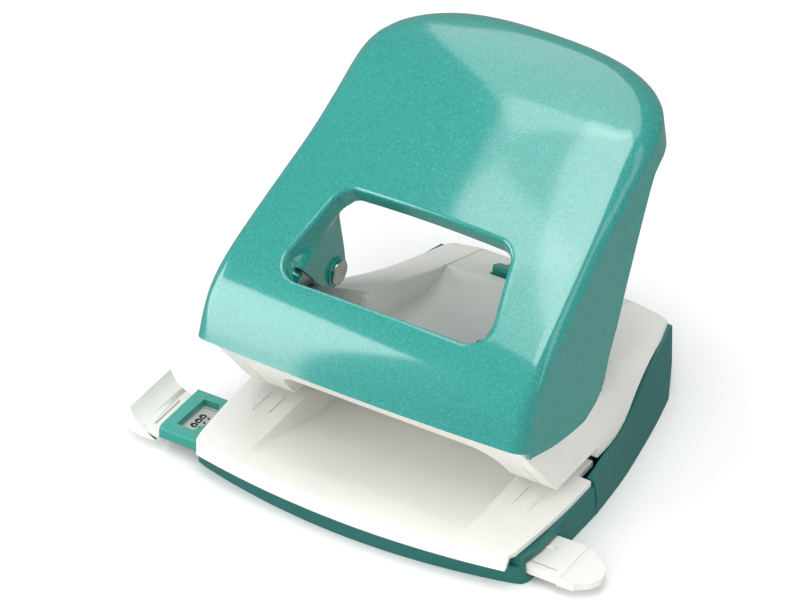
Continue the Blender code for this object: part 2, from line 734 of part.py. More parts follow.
def front_base(look):
    """Front of the base: floor, side walls up to the table and the channel for the guide."""
    bm = bmesh.new()
    bottom = base_outline(-36.5, 7.5, 54.0, 55.2, SEAM_Y)
    top = base_outline(-38.6, 5.6, 51.2, 52.9, SEAM_Y)
    add_loft(bm, [[(x, y, 0.0) for x, y in bottom], [(x, y, BASE_SIDE_TOP) for x, y in top]])
    base = finish("front_base", bm, look)
    inside = bmesh.new()
    low = base_outline(-33.5, 6.5, 51.5, 52.9, SEAM_Y + 5)
    high = base_outline(-35.9, 5.0, 48.8, 50.6, SEAM_Y + 5)
    add_loft(inside, [[(x, y, FLOOR) for x, y in low], [(x, y, 20.0) for x, y in high]])
    cut(base, inside)
    brow = bmesh.new()
    add_box(brow, (-49.9, -60, BASE_FRONT_TOP), (49.9, -37.0, 20))
    cut(base, brow)
    ledge = bmesh.new()
    add_prism(ledge, [(-60, -70), (60, -70), (52.2, -15), (52.2, 30), (-52.2, 30), (-52.2, -15)],
              'Z', 9.5, 20)
    cut(base, ledge)
    channel = bmesh.new()
    add_box(channel, (-70, RAIL_FRONT - 0.5, RAIL_BOTTOM - 0.5), (70, RAIL_BACK + 0.5, RAIL_TOP + 0.5))
    cut(base, channel)
    frame_seat = bmesh.new()
    add_box(frame_seat, (-70, -38.5, 4.3), (-51.3, -16.4, 20))
    cut(base, frame_seat)
    under = bmesh.new()
    add_box(under, (-51.0, HINGE_Y - 3.4, -1), (51.0, 30, FLOOR + 0.5))
    cut(base, under)
    for hand in (-1, 1):
        boss = bmesh.new()
        low_x, high_x = sorted((hand * 48.0, hand * 53.2))
        add_box(boss, (low_x, HINGE_Y - 3.4, 0.4), (high_x, HINGE_Y + 2.6, 5.4))
        join(base, boss)
        bore = bmesh.new()
        low_x, high_x = sorted((hand * 40.0, hand * 52.4))
        add_rod(bore, (low_x, HINGE_Y, HINGE_Z), (high_x, HINGE_Y, HINGE_Z), 1.2 + GAP)
        cut(base, bore)
    return base


# (y at the floor, y at the rim, half width at the floor, half width at the rim, rim height)
TRAY_STATIONS = [
    (SEAM_Y + GAP, SEAM_Y + GAP, 55.1, 52.8, 12.0),
    (20.0, 20.0, 53.2, 50.2, 12.0),
    (38.0, 39.0, 50.2, 46.4, 14.4),
    (49.0, 54.0, 48.0, 42.9, 15.6),
    (59.0, 72.4, 45.6, 38.8, 13.2),
]


def chip_tray(look):
    """Rear of the base: a pan that swings down at its front hinge to empty the paper chips."""
    bm = bmesh.new()
    sections = []
    for low_y, high_y, low_x, high_x, rim in TRAY_STATIONS:
        sections.append([(low_x, low_y, 0.0), (high_x, high_y, rim),
                         (-high_x, high_y, rim), (-low_x, low_y, 0.0)])
    add_loft(bm, sections)
    tray = finish("chip_tray", bm, look, (0, HINGE_Y, HINGE_Z))
    inside = bmesh.new()
    sections = []
    wall = COVER_WALL
    for i, (low_y, high_y, low_x, high_x, rim) in enumerate(TRAY_STATIONS):
        back = 3.0 if i == len(TRAY_STATIONS) - 1 else 0.0
        front = 8.0 if i == 0 else 0.0
        slope = (high_x - low_x) / rim
        top = rim + 8.0
        floor_x = low_x + slope * FLOOR - wall
        top_x = low_x + slope * top - wall
        rake = (high_y - low_y) / rim
        floor_y = low_y + rake * FLOOR - back - front
        top_y = low_y + rake * top - back - front
        sections.append([(floor_x, floor_y, FLOOR), (top_x, top_y, top),
                         (-top_x, top_y, top), (-floor_x, floor_y, FLOOR)])
    add_loft(inside, sections)
    cut(tray, inside)
    tongue = bmesh.new()
    add_box(tongue, (-47.6, HINGE_Y + 0.4, 0.0), (47.6, SEAM_Y + 3, FLOOR - 0.1))
    join(tray, tongue)
    for hand in (-1, 1):
        knuckle = bmesh.new()
        low_x, high_x = sorted((hand * 42.0, hand * 47.6))
        add_rod(knuckle, (low_x, HINGE_Y, HINGE_Z), (high_x, HINGE_Y, HINGE_Z), 2.6)
        join(tray, knuckle)
        bore = bmesh.new()
        low_x, high_x = sorted((hand * 41.0, hand * 53.0))
        add_rod(bore, (low_x, HINGE_Y, HINGE_Z), (high_x, HINGE_Y, HINGE_Z), 1.2 + GAP)
        cut(tray, bore)
    return tray


def tray_pin(hand, look):
    bm = bmesh.new()
    low_x, high_x = sorted((hand * 42.3, hand * 52.0))
    add_rod(bm, (low_x, HINGE_Y, HINGE_Z), (high_x, HINGE_Y, HINGE_Z), 1.2, sides=16)
    return finish(f"tray_pin_{side_name(hand)}", bm, look, (0, HINGE_Y, HINGE_Z), smooth=True)


# ---------------------------------------------------------------- paper guide

def guide_rail(look):
    """Channel-shaped rail that slides through the base, open below."""
    bm = bmesh.new()
    add_box(bm, (RAIL_LEFT, RAIL_FRONT, RAIL_BOTTOM), (RAIL_RIGHT, RAIL_BACK, RAIL_TOP))
    rail = finish("guide_rail", bm, look)
    hollow = bmesh.new()
    add_box(hollow, (RAIL_LEFT + 3, RAIL_FRONT + 1.6, -1), (RAIL_RIGHT - 3, RAIL_BACK - 1.6, 4.6))
    cut(rail, hollow)
    seat = bmesh.new()
    add_box(seat, (-63.5, RAIL_FRONT + 1.2, 5.45), (22.5, RAIL_BACK - 1.2, 9))
    cut(rail, seat)
    return rail


def format_strip(look):
    bm = bmesh.new()
    add_box(bm, (-63.1, RAIL_FRONT + 1.6, 5.75), (22.1, RAIL_BACK - 1.6, 6.35))
    return finish("format_strip", bm, look)


def rail_window(look):
    """Frame over the rail beside the base, through which the paper format is read."""
    outline = [(-38.0, 4.9), (-36.0, 4.9), (-35.6, 7.0), (-18.6, 7.0), (-18.4, 4.9), (-17.0, 4.9),
               (-17.0, 8.2), (-17.6, 8.8), (-36.4, 8.8), (-38.0, 7.4)]
    bm = bmesh.new()
    add_prism(bm, outline, 'X', -65.2, -51.8)
    frame = finish("rail_window", bm, look)
    opening = bmesh.new()
    curve = arc((-66.5, -27.0), 11.9, -32, 32, 8)
    add_prism(opening, [(-62.0, -33.2), *curve, (-62.0, -20.8)], 'Z', 4, 12)
    cut(frame, opening)
    return frame


def end_stop(look):
    """Scooped stop on the left end of the rail, against which the paper edge is set."""
    lower = arc((-66.0, 13.0), 9.6, 268, 196, 7)
    outer = [(-79.8, 12.3), (-79.9, 11.2), (-78.2, 7.4), (-75.0, 4.9), (-71.0, 3.5), (-66.0, 3.2)]
    outline = lower + [(-75.8, 12.3)] + outer
    bm = bmesh.new()
    add_prism(bm, outline, 'Y', -38.2, -17.0)
    return finish("end_stop", bm, look)


def rail_tab(look):
    """Right end of the rail: a flat tab with a turned-down rounded tip."""
    left, right = RAIL_RIGHT + GAP, 73.6
    outline = [(left, RAIL_FRONT), (66.0, RAIL_FRONT), (71.0, RAIL_FRONT + 1.2), (73.2, RAIL_FRONT + 6),
               (right, RAIL_FRONT + 9), (72.0, RAIL_BACK - 3), (68.5, RAIL_BACK - 0.4),
               (60.0, RAIL_BACK), (left, RAIL_BACK)]
    bm = bmesh.new()
    add_prism(bm, outline, 'Z', RAIL_BOTTOM, RAIL_TOP)
    tab = finish("rail_tab", bm, look)
    slot = bmesh.new()
    add_box(slot, (left + 2, RAIL_FRONT + 1.6, 5.0), (62.0, RAIL_FRONT + 2.4, 9.0))
    cut(tab, slot)
    dimple = bmesh.new()
    add_rod(dimple, (56.0, -25.2, 5.8), (56.0, -25.2, 9.0), 1.7)
    cut(tab, dimple)
    return tab


def rail_detent(look):
    """Leaf spring on the base floor that presses up against the rail."""
    outline = [(10.0, 2.1), (18.0, 2.1), (24.0, 2.5), (27.0, 2.9), (30.0, 2.5), (36.0, 2.1),
               (36.0, 1.95), (40.0, 1.95), (40.0, 2.35), (36.2, 2.4), (30.0, 2.85), (27.0, 3.15),
               (24.0, 2.85), (18.0, 2.4), (10.0, 2.4)]
    bm = bmesh.new()
    add_prism(bm, outline, 'Y', -29.0, -25.0)
    return finish("rail_detent", bm, look)


# ---------------------------------------------------------------- lever lock

def lever_lock(look):
    """Sliding catch: a thumb block in the rear deck on a foot plate below it."""
    bm = bmesh.new()
    add_prism(bm, [(58.0, 15.0), (64.4, 15.0), (64.4, 22.0), (63.4, 23.2), (59.4, 25.6), (58.0, 25.0)],
              'X', -LOCK_HALF, LOCK_HALF)
    lock = finish("lever_lock", bm, look)
    foot = bmesh.new()
    add_box(foot, (-LOCK_HALF - 3.0, 54.6, 14.2), (LOCK_HALF + 3.0, 65.6, 15.8))
    join(lock, foot)
    return lock


def build():
    clear_scene()
    paint = material("metallic_teal_paint", (0.05, 0.47, 0.38), 0.28, 0.6)
    teal = material("teal_plastic", (0.012, 0.13, 0.12), 0.42)
    bright_teal = material("light_teal_plastic", (0.04, 0.37, 0.30), 0.38)
    white = material("white_plastic", (0.83, 0.83, 0.80), 0.45)
    grey = material("pale_grey_plastic", (0.66, 0.69, 0.66), 0.45)
    label = material("format_label", (0.60, 0.63, 0.60), 0.6)
    steel = material("bright_steel", (0.55, 0.54, 0.53), 0.3, 1.0)
    dull = material("zinc_steel", (0.42, 0.42, 0.42), 0.45, 1.0)

    press_lever(paint)
    pivot_axle(steel)
    for hand in (-1, 1):
        drive_pin(hand, steel)
        pin_collar(hand, paint)
        axle_clip(hand, dull)
        punch_frame(hand, dull)
        punch(hand, steel)
        spring_washer(hand, dull)
        low = GUIDE_HIGH + FRAME_SHEET + GAP
        coil_spring(f"punch_spring_{side_name(hand)}", (hand * PUNCH_X, 0, low), 3.9, 0.5,
                    WASHER_Z - GAP - low, 6, steel)
        tray_pin(hand, dull)
    top_cover(white)
    paper_table(white)
    front_base(teal)
    chip_tray(teal)
    guide_rail(grey)
    format_strip(label)
    rail_window(bright_teal)
    end_stop(grey)
    rail_tab(grey)
    rail_detent(dull)
    lever_lock(bright_teal)


build()
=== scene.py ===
import math
import bmesh
import bpy
from mathutils import Matrix, Vector


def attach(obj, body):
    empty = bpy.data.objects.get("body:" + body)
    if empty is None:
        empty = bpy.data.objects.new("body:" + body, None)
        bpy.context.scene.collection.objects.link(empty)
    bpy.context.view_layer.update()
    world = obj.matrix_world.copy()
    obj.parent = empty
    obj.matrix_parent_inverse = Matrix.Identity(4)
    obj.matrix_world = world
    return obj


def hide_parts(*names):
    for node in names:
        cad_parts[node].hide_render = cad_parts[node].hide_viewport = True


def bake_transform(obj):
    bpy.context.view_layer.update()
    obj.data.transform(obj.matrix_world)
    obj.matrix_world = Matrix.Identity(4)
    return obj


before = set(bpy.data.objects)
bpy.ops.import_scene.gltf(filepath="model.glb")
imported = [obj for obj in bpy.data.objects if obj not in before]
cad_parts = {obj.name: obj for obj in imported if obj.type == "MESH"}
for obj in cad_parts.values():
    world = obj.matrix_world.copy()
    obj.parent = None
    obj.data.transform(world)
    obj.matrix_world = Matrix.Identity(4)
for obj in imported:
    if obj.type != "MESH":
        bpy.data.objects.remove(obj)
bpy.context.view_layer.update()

mm = 0.001  # pieces are drawn in millimetres and scaled once, when they are finished


# finishes

def newFinish(name, colour, roughness, metallic=0.0):
    finish = bpy.data.materials.new(name)
    finish.use_nodes = True
    nodes, links = finish.node_tree.nodes, finish.node_tree.links
    shader = nodes["Principled BSDF"]
    shader.inputs["Base Color"].default_value = (*colour, 1)
    shader.inputs["Roughness"].default_value = roughness
    shader.inputs["Metallic"].default_value = metallic
    return finish, nodes, links, shader


def objectCoords(nodes, links, stretch=(1, 1, 1)):
    coords = nodes.new("ShaderNodeTexCoord")
    mapping = nodes.new("ShaderNodeMapping")
    mapping.inputs["Scale"].default_value = stretch
    links.new(coords.outputs["Object"], mapping.inputs["Vector"])
    return mapping.outputs["Vector"]


def noiseAt(nodes, links, where, scale, detail=3):
    grain = nodes.new("ShaderNodeTexNoise")
    grain.inputs["Scale"].default_value = scale
    grain.inputs["Detail"].default_value = detail
    links.new(where, grain.inputs["Vector"])
    return grain.outputs["Fac"]


def rampOf(nodes, links, fac, stops):
    ramp = nodes.new("ShaderNodeValToRGB")
    ramp.color_ramp.elements[0].position = stops[0][0]
    ramp.color_ramp.elements[0].color = (*stops[0][1], 1)
    ramp.color_ramp.elements[1].position = stops[-1][0]
    ramp.color_ramp.elements[1].color = (*stops[-1][1], 1)
    for place, colour in stops[1:-1]:
        ramp.color_ramp.elements.new(place).color = (*colour, 1)
    links.new(fac, ramp.inputs["Fac"])
    return ramp.outputs["Color"]


def bumpFrom(nodes, links, height, strength, distance):
    bump = nodes.new("ShaderNodeBump")
    bump.inputs["Strength"].default_value = strength
    bump.inputs["Distance"].default_value = distance
    links.new(height, bump.inputs["Height"])
    return bump.outputs["Normal"]


# metallic lacquer: flakes a third of a millimetre wide, each a little lighter or darker and
# tilted its own way, under a clear coat
flakePaint = {
    "dark": (0.003, 0.24, 0.205), "mid": (0.006, 0.30, 0.26), "light": (0.025, 0.39, 0.335),
    "flakeScale": 3000, "tilt": 0.05, "roughness": 0.45, "metallic": 0.12,
    "coatRoughness": 0.1, "coat": 1.0, "coatIndex": 1.8,
}


def makeFlakePaint(name, look):
    finish, nodes, links, shader = newFinish(name, look["mid"], look["roughness"], look["metallic"])
    where = objectCoords(nodes, links)
    flakes = nodes.new("ShaderNodeTexVoronoi")
    flakes.inputs["Scale"].default_value = look["flakeScale"]
    links.new(where, flakes.inputs["Vector"])
    split = nodes.new("ShaderNodeSeparateColor")
    links.new(flakes.outputs["Color"], split.inputs["Color"])
    colour = rampOf(nodes, links, split.outputs["Red"],
                    [(0.0, look["dark"]), (0.45, look["mid"]), (0.8, look["mid"]), (1.0, look["light"])])
    links.new(colour, shader.inputs["Base Color"])
    centred = nodes.new("ShaderNodeVectorMath")
    centred.operation = "SUBTRACT"
    centred.inputs[1].default_value = (0.5, 0.5, 0.5)
    links.new(flakes.outputs["Color"], centred.inputs[0])
    scaled = nodes.new("ShaderNodeVectorMath")
    scaled.operation = "SCALE"
    scaled.inputs["Scale"].default_value = look["tilt"]
    links.new(centred.outputs["Vector"], scaled.inputs[0])
    surface = nodes.new("ShaderNodeNewGeometry")
    tilted = nodes.new("ShaderNodeVectorMath")
    tilted.operation = "ADD"
    links.new(surface.outputs["Normal"], tilted.inputs[0])
    links.new(scaled.outputs["Vector"], tilted.inputs[1])
    unit = nodes.new("ShaderNodeVectorMath")
    unit.operation = "NORMALIZE"
    links.new(tilted.outputs["Vector"], unit.inputs[0])
    links.new(unit.outputs["Vector"], shader.inputs["Normal"])
    shader.inputs["Coat Weight"].default_value = look["coat"]
    shader.inputs["Coat IOR"].default_value = look["coatIndex"]
    shader.inputs["Coat Roughness"].default_value = look["coatRoughness"]
    return finish


# moulded plastic: spark-eroded texture, faint colour drift and slightly shinier high spots
def makePlastic(name, colour, roughness, grain=0.12, drift=0.05, grainScale=2600):
    finish, nodes, links, shader = newFinish(name, colour, roughness)
    where = objectCoords(nodes, links)
    slow = noiseAt(nodes, links, where, 28, 4)
    low = tuple(c * (1 - drift) for c in colour)
    high = tuple(min(1, c * (1 + drift)) for c in colour)
    links.new(rampOf(nodes, links, slow, [(0.3, low), (0.7, high)]), shader.inputs["Base Color"])
    fine = noiseAt(nodes, links, where, grainScale, 2)
    spread = nodes.new("ShaderNodeMapRange")
    spread.inputs["To Min"].default_value = roughness - 0.06
    spread.inputs["To Max"].default_value = roughness + 0.08
    links.new(fine, spread.inputs["Value"])
    links.new(spread.outputs["Result"], shader.inputs["Roughness"])
    links.new(bumpFrom(nodes, links, fine, grain, 0.0001), shader.inputs["Normal"])
    return finish


# steel with fine tool lines along one direction
def makeSteel(name, colour, roughness, lines=(600, 9000, 9000)):
    finish, nodes, links, shader = newFinish(name, colour, roughness, 1.0)
    where = objectCoords(nodes, links, tuple(n / 600 for n in lines))
    scratch = noiseAt(nodes, links, where, 600, 3)
    tone = rampOf(nodes, links, scratch, [(0.25, tuple(c * 0.8 for c in colour)),
                                          (0.75, tuple(min(1, c * 1.15) for c in colour))])
    links.new(tone, shader.inputs["Base Color"])
    links.new(bumpFrom(nodes, links, scratch, 0.08, 0.0001), shader.inputs["Normal"])
    return finish


leverPaint = makeFlakePaint("leverPaint", flakePaint)
whitePlastic = makePlastic("whitePlastic", (0.82, 0.82, 0.775), 0.42)
tealPlastic = makePlastic("tealPlastic", (0.014, 0.145, 0.132), 0.42, drift=0.08)
lightTealPlastic = makePlastic("lightTealPlastic", (0.032, 0.30, 0.245), 0.34)
paleGreyPlastic = makePlastic("paleGreyPlastic", (0.70, 0.72, 0.68), 0.36)
stopPlastic = makePlastic("stopPlastic", (0.84, 0.84, 0.80), 0.38)
labelPaper = makePlastic("labelPaper", (0.55, 0.58, 0.56), 0.6, grain=0.03)
labelInk = makePlastic("labelInk", (0.02, 0.022, 0.024), 0.6, grain=0.03)
brightSteel = makeSteel("brightSteel", (0.60, 0.585, 0.565), 0.24)
zincSteel = makeSteel("zincSteel", (0.46, 0.465, 0.47), 0.42)
print("finishes made")


# drawing helpers, all in millimetres

def ringOf(bm, points):
    ring = [bm.verts.new(point) for point in points]
    for i in range(len(ring)):
        bm.edges.new((ring[i - 1], ring[i]))
    return ring


# extrudes a chain of edges and sets its new vertices on the given points
def pullChain(bm, chain, points, closed=True):
    pairs = zip(chain, chain[1:] + chain[:1] if closed else chain[1:])
    edges = [bm.edges.get(pair) for pair in pairs]
    grown = bmesh.ops.extrude_edge_only(bm, edges=edges)["geom"]
    fresh = {tuple(v.co): v for v in grown if isinstance(v, bmesh.types.BMVert)}
    pulled = [fresh[tuple(v.co)] for v in chain]
    for vert, point in zip(pulled, points):
        vert.co = point
    return pulled


def loft(bm, sections):
    chain = ringOf(bm, sections[0])
    bmesh.ops.contextual_create(bm, geom=chain)
    for section in sections[1:]:
        chain = pullChain(bm, chain, section)
    bmesh.ops.contextual_create(bm, geom=chain)
    return bm


# closed outline pushed along X, Y or Z
def prism(outline, axis, low, high):
    place = {
        "X": lambda a, b, d: (d, a, b),
        "Y": lambda a, b, d: (a, d, b),
        "Z": lambda a, b, d: (a, b, d),
    }[axis]
    return loft(bmesh.new(), [[place(a, b, d) for a, b in outline] for d in (low, high)])


# stretch along X from near to far of the middle, on the side that hand says
def mirrored(hand, near, far):
    return sorted((hand * near, hand * far))


def block(low, high):
    bm = bmesh.new()
    centre = [(a + b) / 2 for a, b in zip(low, high)]
    size = [b - a for a, b in zip(low, high)]
    bmesh.ops.create_cube(bm, size=1, matrix=Matrix.Translation(centre) @ Matrix.Diagonal((*size, 1)))
    return bm


def rod(start, end, radius, sides=48):
    bm = bmesh.new()
    run = Vector(end) - Vector(start)
    turn = Vector((0, 0, 1)).rotation_difference(run).to_matrix().to_4x4()
    bmesh.ops.create_cone(bm, cap_ends=True, segments=sides, radius1=radius, radius2=radius, depth=run.length,
                          matrix=Matrix.Translation((Vector(start) + Vector(end)) / 2) @ turn)
    return bm


# turned piece: (radius, distance) points spun round the axis from base along direction
def turned(base, direction, profile, sides=64):
    bm = bmesh.new()
    direction = Vector(direction).normalized()
    side = direction.orthogonal().normalized()
    chain = [bm.verts.new(Vector(base) + side * r + direction * d) for r, d in profile]
    edges = [bm.edges.new(pair) for pair in zip(chain, chain[1:])]
    bmesh.ops.spin(bm, geom=chain + edges, cent=base, axis=direction, angle=2 * math.pi,
                   steps=sides, use_merge=True)
    bmesh.ops.remove_doubles(bm, verts=bm.verts, dist=0.0005)
    return bm


def arc(centre, radius, start, end, steps):
    angles = [math.radians(start + (end - start) * i / steps) for i in range(steps + 1)]
    return [(centre[0] + radius * math.cos(a), centre[1] + radius * math.sin(a)) for a in angles]


# outline with each corner rounded; corners are (a, b, radius)
def rounded(corners, steps=5):
    points = []
    for i, (a, b, radius) in enumerate(corners):
        here = Vector((a, b))
        before = Vector(corners[i - 1][:2]) - here
        after = Vector(corners[(i + 1) % len(corners)][:2]) - here
        if radius <= 0:
            points.append((a, b))
            continue
        half = before.angle(after) / 2
        reach = min(radius / math.tan(half), before.length * 0.49, after.length * 0.49)
        start, end = here + before.normalized() * reach, here + after.normalized() * reach
        for k in range(steps + 1):  # quadratic curve through the corner
            t = k / steps
            point = (start * (1 - t) ** 2 + here * 2 * t * (1 - t) * 0.92 + end * t ** 2
                     + (start + end) * 0.08 * t * (1 - t))
            points.append((point.x, point.y))
    return points


# smooth amount between (place, amount) keys
def smoothAt(keys, place):
    if place <= keys[0][0]:
        return keys[0][1]
    if place >= keys[-1][0]:
        return keys[-1][1]
    i = next(k for k in range(1, len(keys)) if place <= keys[k][0])
    (x0, y0), (x1, y1) = keys[i - 1], keys[i]

    def slope(k):
        if k in (0, len(keys) - 1):
            a, b = (0, 1) if k == 0 else (-2, -1)
        else:
            a, b = k - 1, k + 1
        return (keys[b][1] - keys[a][1]) / (keys[b][0] - keys[a][0])
    t, run = (place - x0) / (x1 - x0), x1 - x0
    return ((2 * t ** 3 - 3 * t ** 2 + 1) * y0 + (t ** 3 - 2 * t ** 2 + t) * run * slope(i - 1)
            + (3 * t ** 2 - 2 * t ** 3) * y1 + (t ** 3 - t ** 2) * run * slope(i))


# boolean with throw-away solids, applied at once
def combine(piece, tools, operation="DIFFERENCE"):
    for bm in tools:
        bmesh.ops.recalc_face_normals(bm, faces=bm.faces)
        bmesh.ops.scale(bm, vec=(mm, mm, mm), verts=bm.verts)
        mesh = bpy.data.meshes.new("tool")
        bm.to_mesh(mesh)
        bm.free()
        tool = bpy.data.objects.new("tool", mesh)
        bpy.context.scene.collection.objects.link(tool)
        step = piece.modifiers.new("combine", "BOOLEAN")
        step.operation, step.solver, step.object = operation, "EXACT", tool
        bpy.context.view_layer.update()
        result = bpy.data.meshes.new_from_object(piece.evaluated_get(bpy.context.evaluated_depsgraph_get()))
        piece.modifiers.clear()
        old, piece.data = piece.data, result
        bpy.data.meshes.remove(old)
        bpy.data.objects.remove(tool)
    return piece


def makePiece(name, bm, finish, outward=True):
    if outward:
        bmesh.ops.recalc_face_normals(bm, faces=bm.faces)
    bmesh.ops.scale(bm, vec=(mm, mm, mm), verts=bm.verts)
    mesh = bpy.data.meshes.new(name)
    bm.to_mesh(mesh)
    bm.free()
    mesh.materials.append(finish)
    piece = bpy.data.objects.new(name, mesh)
    bpy.context.scene.collection.objects.link(piece)
    return piece


# soft edges, smooth shading and the piece's place in the frame
def dress(piece, body, nodes=(), bevel=0.0, segments=3, angle=32):
    mesh = piece.data
    mesh.shade_smooth()
    mesh.set_sharp_from_angle(angle=math.radians(angle))
    if bevel:
        soft = piece.modifiers.new("softEdges", "BEVEL")
        soft.width, soft.segments, soft.limit_method = bevel * mm, segments, "ANGLE"
        soft.angle_limit = math.radians(angle)
        soft.harden_normals = False
        even = piece.modifiers.new("evenNormals", "WEIGHTED_NORMAL")
        even.keep_sharp = False
    if body:
        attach(piece, body)
    if nodes:
        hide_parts(*nodes)
    return piece


# pressed steel lever
lever = {
    "side": [(-37.2, 47.0), (-33.0, 57.4), (-24.6, 65.4), (-3.9, 76.4),
             (17.4, 87.2), (36.5, 99.0), (48.5, 103.6), (66.0, 103.2)],
    "crown": [(0, 2.2), (22, 2.6), (50, 4.3), (85, 4.8), (127, 4.2)],
    "halfLow": 49.0, "halfLoss": 6.3, "lossPower": 1.7, "lossSpan": 84.0,
    "domeStart": 83.0, "domeEnd": 115.6, "domePower": 4.0,
    "foldRadius": 4.4, "foldReach": [(0, 4.4), (62, 4.8), (84, 6.4), (103, 8.8), (116, 9.2)],
    "flare": 0.05, "sheet": 1.5, "frontEdge": (0.23, -0.97),
    "edge": [(-35.2, 41.5), (-32.0, 41.1), (-20.8, 38.1), (-12.4, 36.9), (-4.1, 36.0), (3.2, 37.4),
             (8.5, 40.8), (11.8, 46.5), (18.9, 54.5), (27.0, 66.0), (46.0, 95.0)],
    "low": -2.0, "windowLow": 21.0, "windowHigh": 53.2, "windowLowHalf": 34.2, "windowHighHalf": 29.9,
    "windowCorner": 7.5, "windowTopCorner": 6.0, "windowArch": 3.4, "rimRadius": 1.3,
    "bottomSteps": 44, "sideSteps": 56, "topSteps": 72, "rings": 12,
}


# side profile resampled every millimetre and smoothed, so reflections run without kinks
def smoothProfile(keys, passes=36):
    keys = [Vector(key) for key in keys]
    keys = [2 * keys[0] - keys[1], *keys, 2 * keys[-1] - keys[-2]]
    dense = []
    for a, b, c, d in zip(keys, keys[1:], keys[2:], keys[3:]):
        for i in range(40):
            t = i / 40
            dense.append(0.5 * (2 * b + (c - a) * t + (2 * a - 5 * b + 4 * c - d) * t * t
                                + (3 * b - a - 3 * c + d) * t ** 3))
    dense.append(keys[-2].copy())
    points, reach = [dense[0]], 0.0
    for a, b in zip(dense, dense[1:]):
        reach += (b - a).length
        if reach >= 1.0:
            points.append(b)
            reach = 0.0
    for _ in range(passes):
        middle = [(a + 2 * b + c) / 4 for a, b, c in zip(points, points[1:], points[2:])]
        points = [points[0]] + middle + [points[-1]]
    return points


leverProfile = smoothProfile(lever["side"])
leverRun = [0.0]
for a, b in zip(leverProfile, leverProfile[1:]):
    leverRun.append(leverRun[-1] + (b - a).length)


def sidePoint(s):
    if s <= 0:
        return leverProfile[0] + (leverProfile[1] - leverProfile[0]).normalized() * s
    if s >= leverRun[-1]:
        return leverProfile[-1] + (leverProfile[-1] - leverProfile[-3]).normalized() * (s - leverRun[-1])
    i = next(k for k in range(1, len(leverRun)) if s <= leverRun[k])
    return leverProfile[i - 1].lerp(leverProfile[i], (s - leverRun[i - 1]) / (leverRun[i] - leverRun[i - 1]))


def halfWidth(s):
    return lever["halfLow"] - lever["halfLoss"] * (max(s, 0) / lever["lossSpan"]) ** lever["lossPower"]


def skin(x, s):
    run = sidePoint(s + 2) - sidePoint(s - 2)
    out = Vector((-run.y, run.x)).normalized()
    lift = smoothAt(lever["crown"], s) * (1 - (x / halfWidth(min(s, lever["domeStart"]))) ** 2)
    place = sidePoint(s) + out * lift
    return Vector((x, place.x, place.y))


def skinNormal(x, s):
    across = skin(x + 1, s) - skin(x - 1, s)
    up = skin(x, s + 1.5) - skin(x, s - 1.5)
    return across.cross(up).normalized()


def skinAway(x, s, direction):
    step = direction * 0.3
    return (skin(x + step.x, s + step.y) - skin(x, s)).normalized()


def spread(chain, steps):
    chain = [Vector(point) for point in chain]
    runs = [0.0]
    for a, b in zip(chain, chain[1:]):
        runs.append(runs[-1] + (b - a).length)
    points = []
    for i in range(steps + 1):
        want = min(runs[-1] * i / steps, runs[-1] - 1e-6)
        k = next(k for k in range(1, len(runs)) if want <= runs[k])
        point = chain[k - 1].lerp(chain[k], (want - runs[k - 1]) / max(runs[k] - runs[k - 1], 1e-9))
        points.append(tuple(point))
    return points


# flat outlines as (x, s), anticlockwise from the lower left corner
def leverOutline():
    wide, low, rise = halfWidth(0), lever["low"], lever["domeStart"] - lever["low"]
    levels = [low + rise * i / lever["sideSteps"] for i in range(lever["sideSteps"])]
    points = [(-wide + 2 * wide * i / lever["bottomSteps"], low) for i in range(lever["bottomSteps"])]
    points += [(halfWidth(s), s) for s in levels]
    dome, rise = [], lever["domeEnd"] - lever["domeStart"]
    for i in range(401):  # squarish arch over the top
        angle = math.pi * i / 400
        s = lever["domeStart"] + rise * max(0.0, math.sin(angle)) ** (2 / lever["domePower"])
        reach = halfWidth(s) * abs(math.cos(angle)) ** (2 / lever["domePower"])
        dome.append((math.copysign(reach, math.cos(angle)), s))
    points += spread(dome, lever["topSteps"])
    points += [(-halfWidth(s), s) for s in reversed(levels[1:])]
    return points


def windowOutline():
    r, low, high = lever["windowCorner"], lever["windowLow"], lever["windowHigh"]
    wide, narrow = lever["windowLowHalf"], lever["windowHighHalf"]
    lean = math.degrees(math.atan2(wide - narrow, high - low))
    lower = arc((-wide + r, low + r), r, 225, 270, 8) + arc((wide - r, low + r), r, 270, 315, 8)
    top = lever["windowTopCorner"]
    upper = arc((narrow - top, high - top), top, lean, 90, 12)
    upper += arc((-narrow + top, high - top), top, 90, 180 - lean, 12)
    upper = [(x, s + lever["windowArch"] * (1 - (x / narrow) ** 2)) for x, s in upper]
    leftUp = arc((-wide + r, low + r), r, 180 - lean, 225, 8)
    rightUp = arc((wide - r, low + r), r, 315, 360 + lean, 8)
    return (spread(lower, lever["bottomSteps"])[:-1] + spread(rightUp + upper[:1], lever["sideSteps"])[:-1]
            + spread(upper, lever["topSteps"]) + spread(upper[-1:] + leftUp, lever["sideSteps"])[1:-1])


def outwardOf(outline):
    out = []
    for i in range(len(outline)):
        run = Vector(outline[(i + 1) % len(outline)]) - Vector(outline[i - 1])
        out.append(Vector((run.y, -run.x)).normalized())
    return out


def flangeDepth(start, down):
    for a, b in zip(lever["edge"], lever["edge"][1:]):
        edge, gap = Vector(b) - Vector(a), Vector(a) - start
        cross = down.x * edge.y - down.y * edge.x
        if abs(cross) < 1e-9:
            continue
        depth = (gap.x * edge.y - gap.y * edge.x) / cross
        share = (gap.x * down.y - gap.y * down.x) / cross
        if 0 <= share <= 1 and depth > 0:
            return depth
    return 6.0


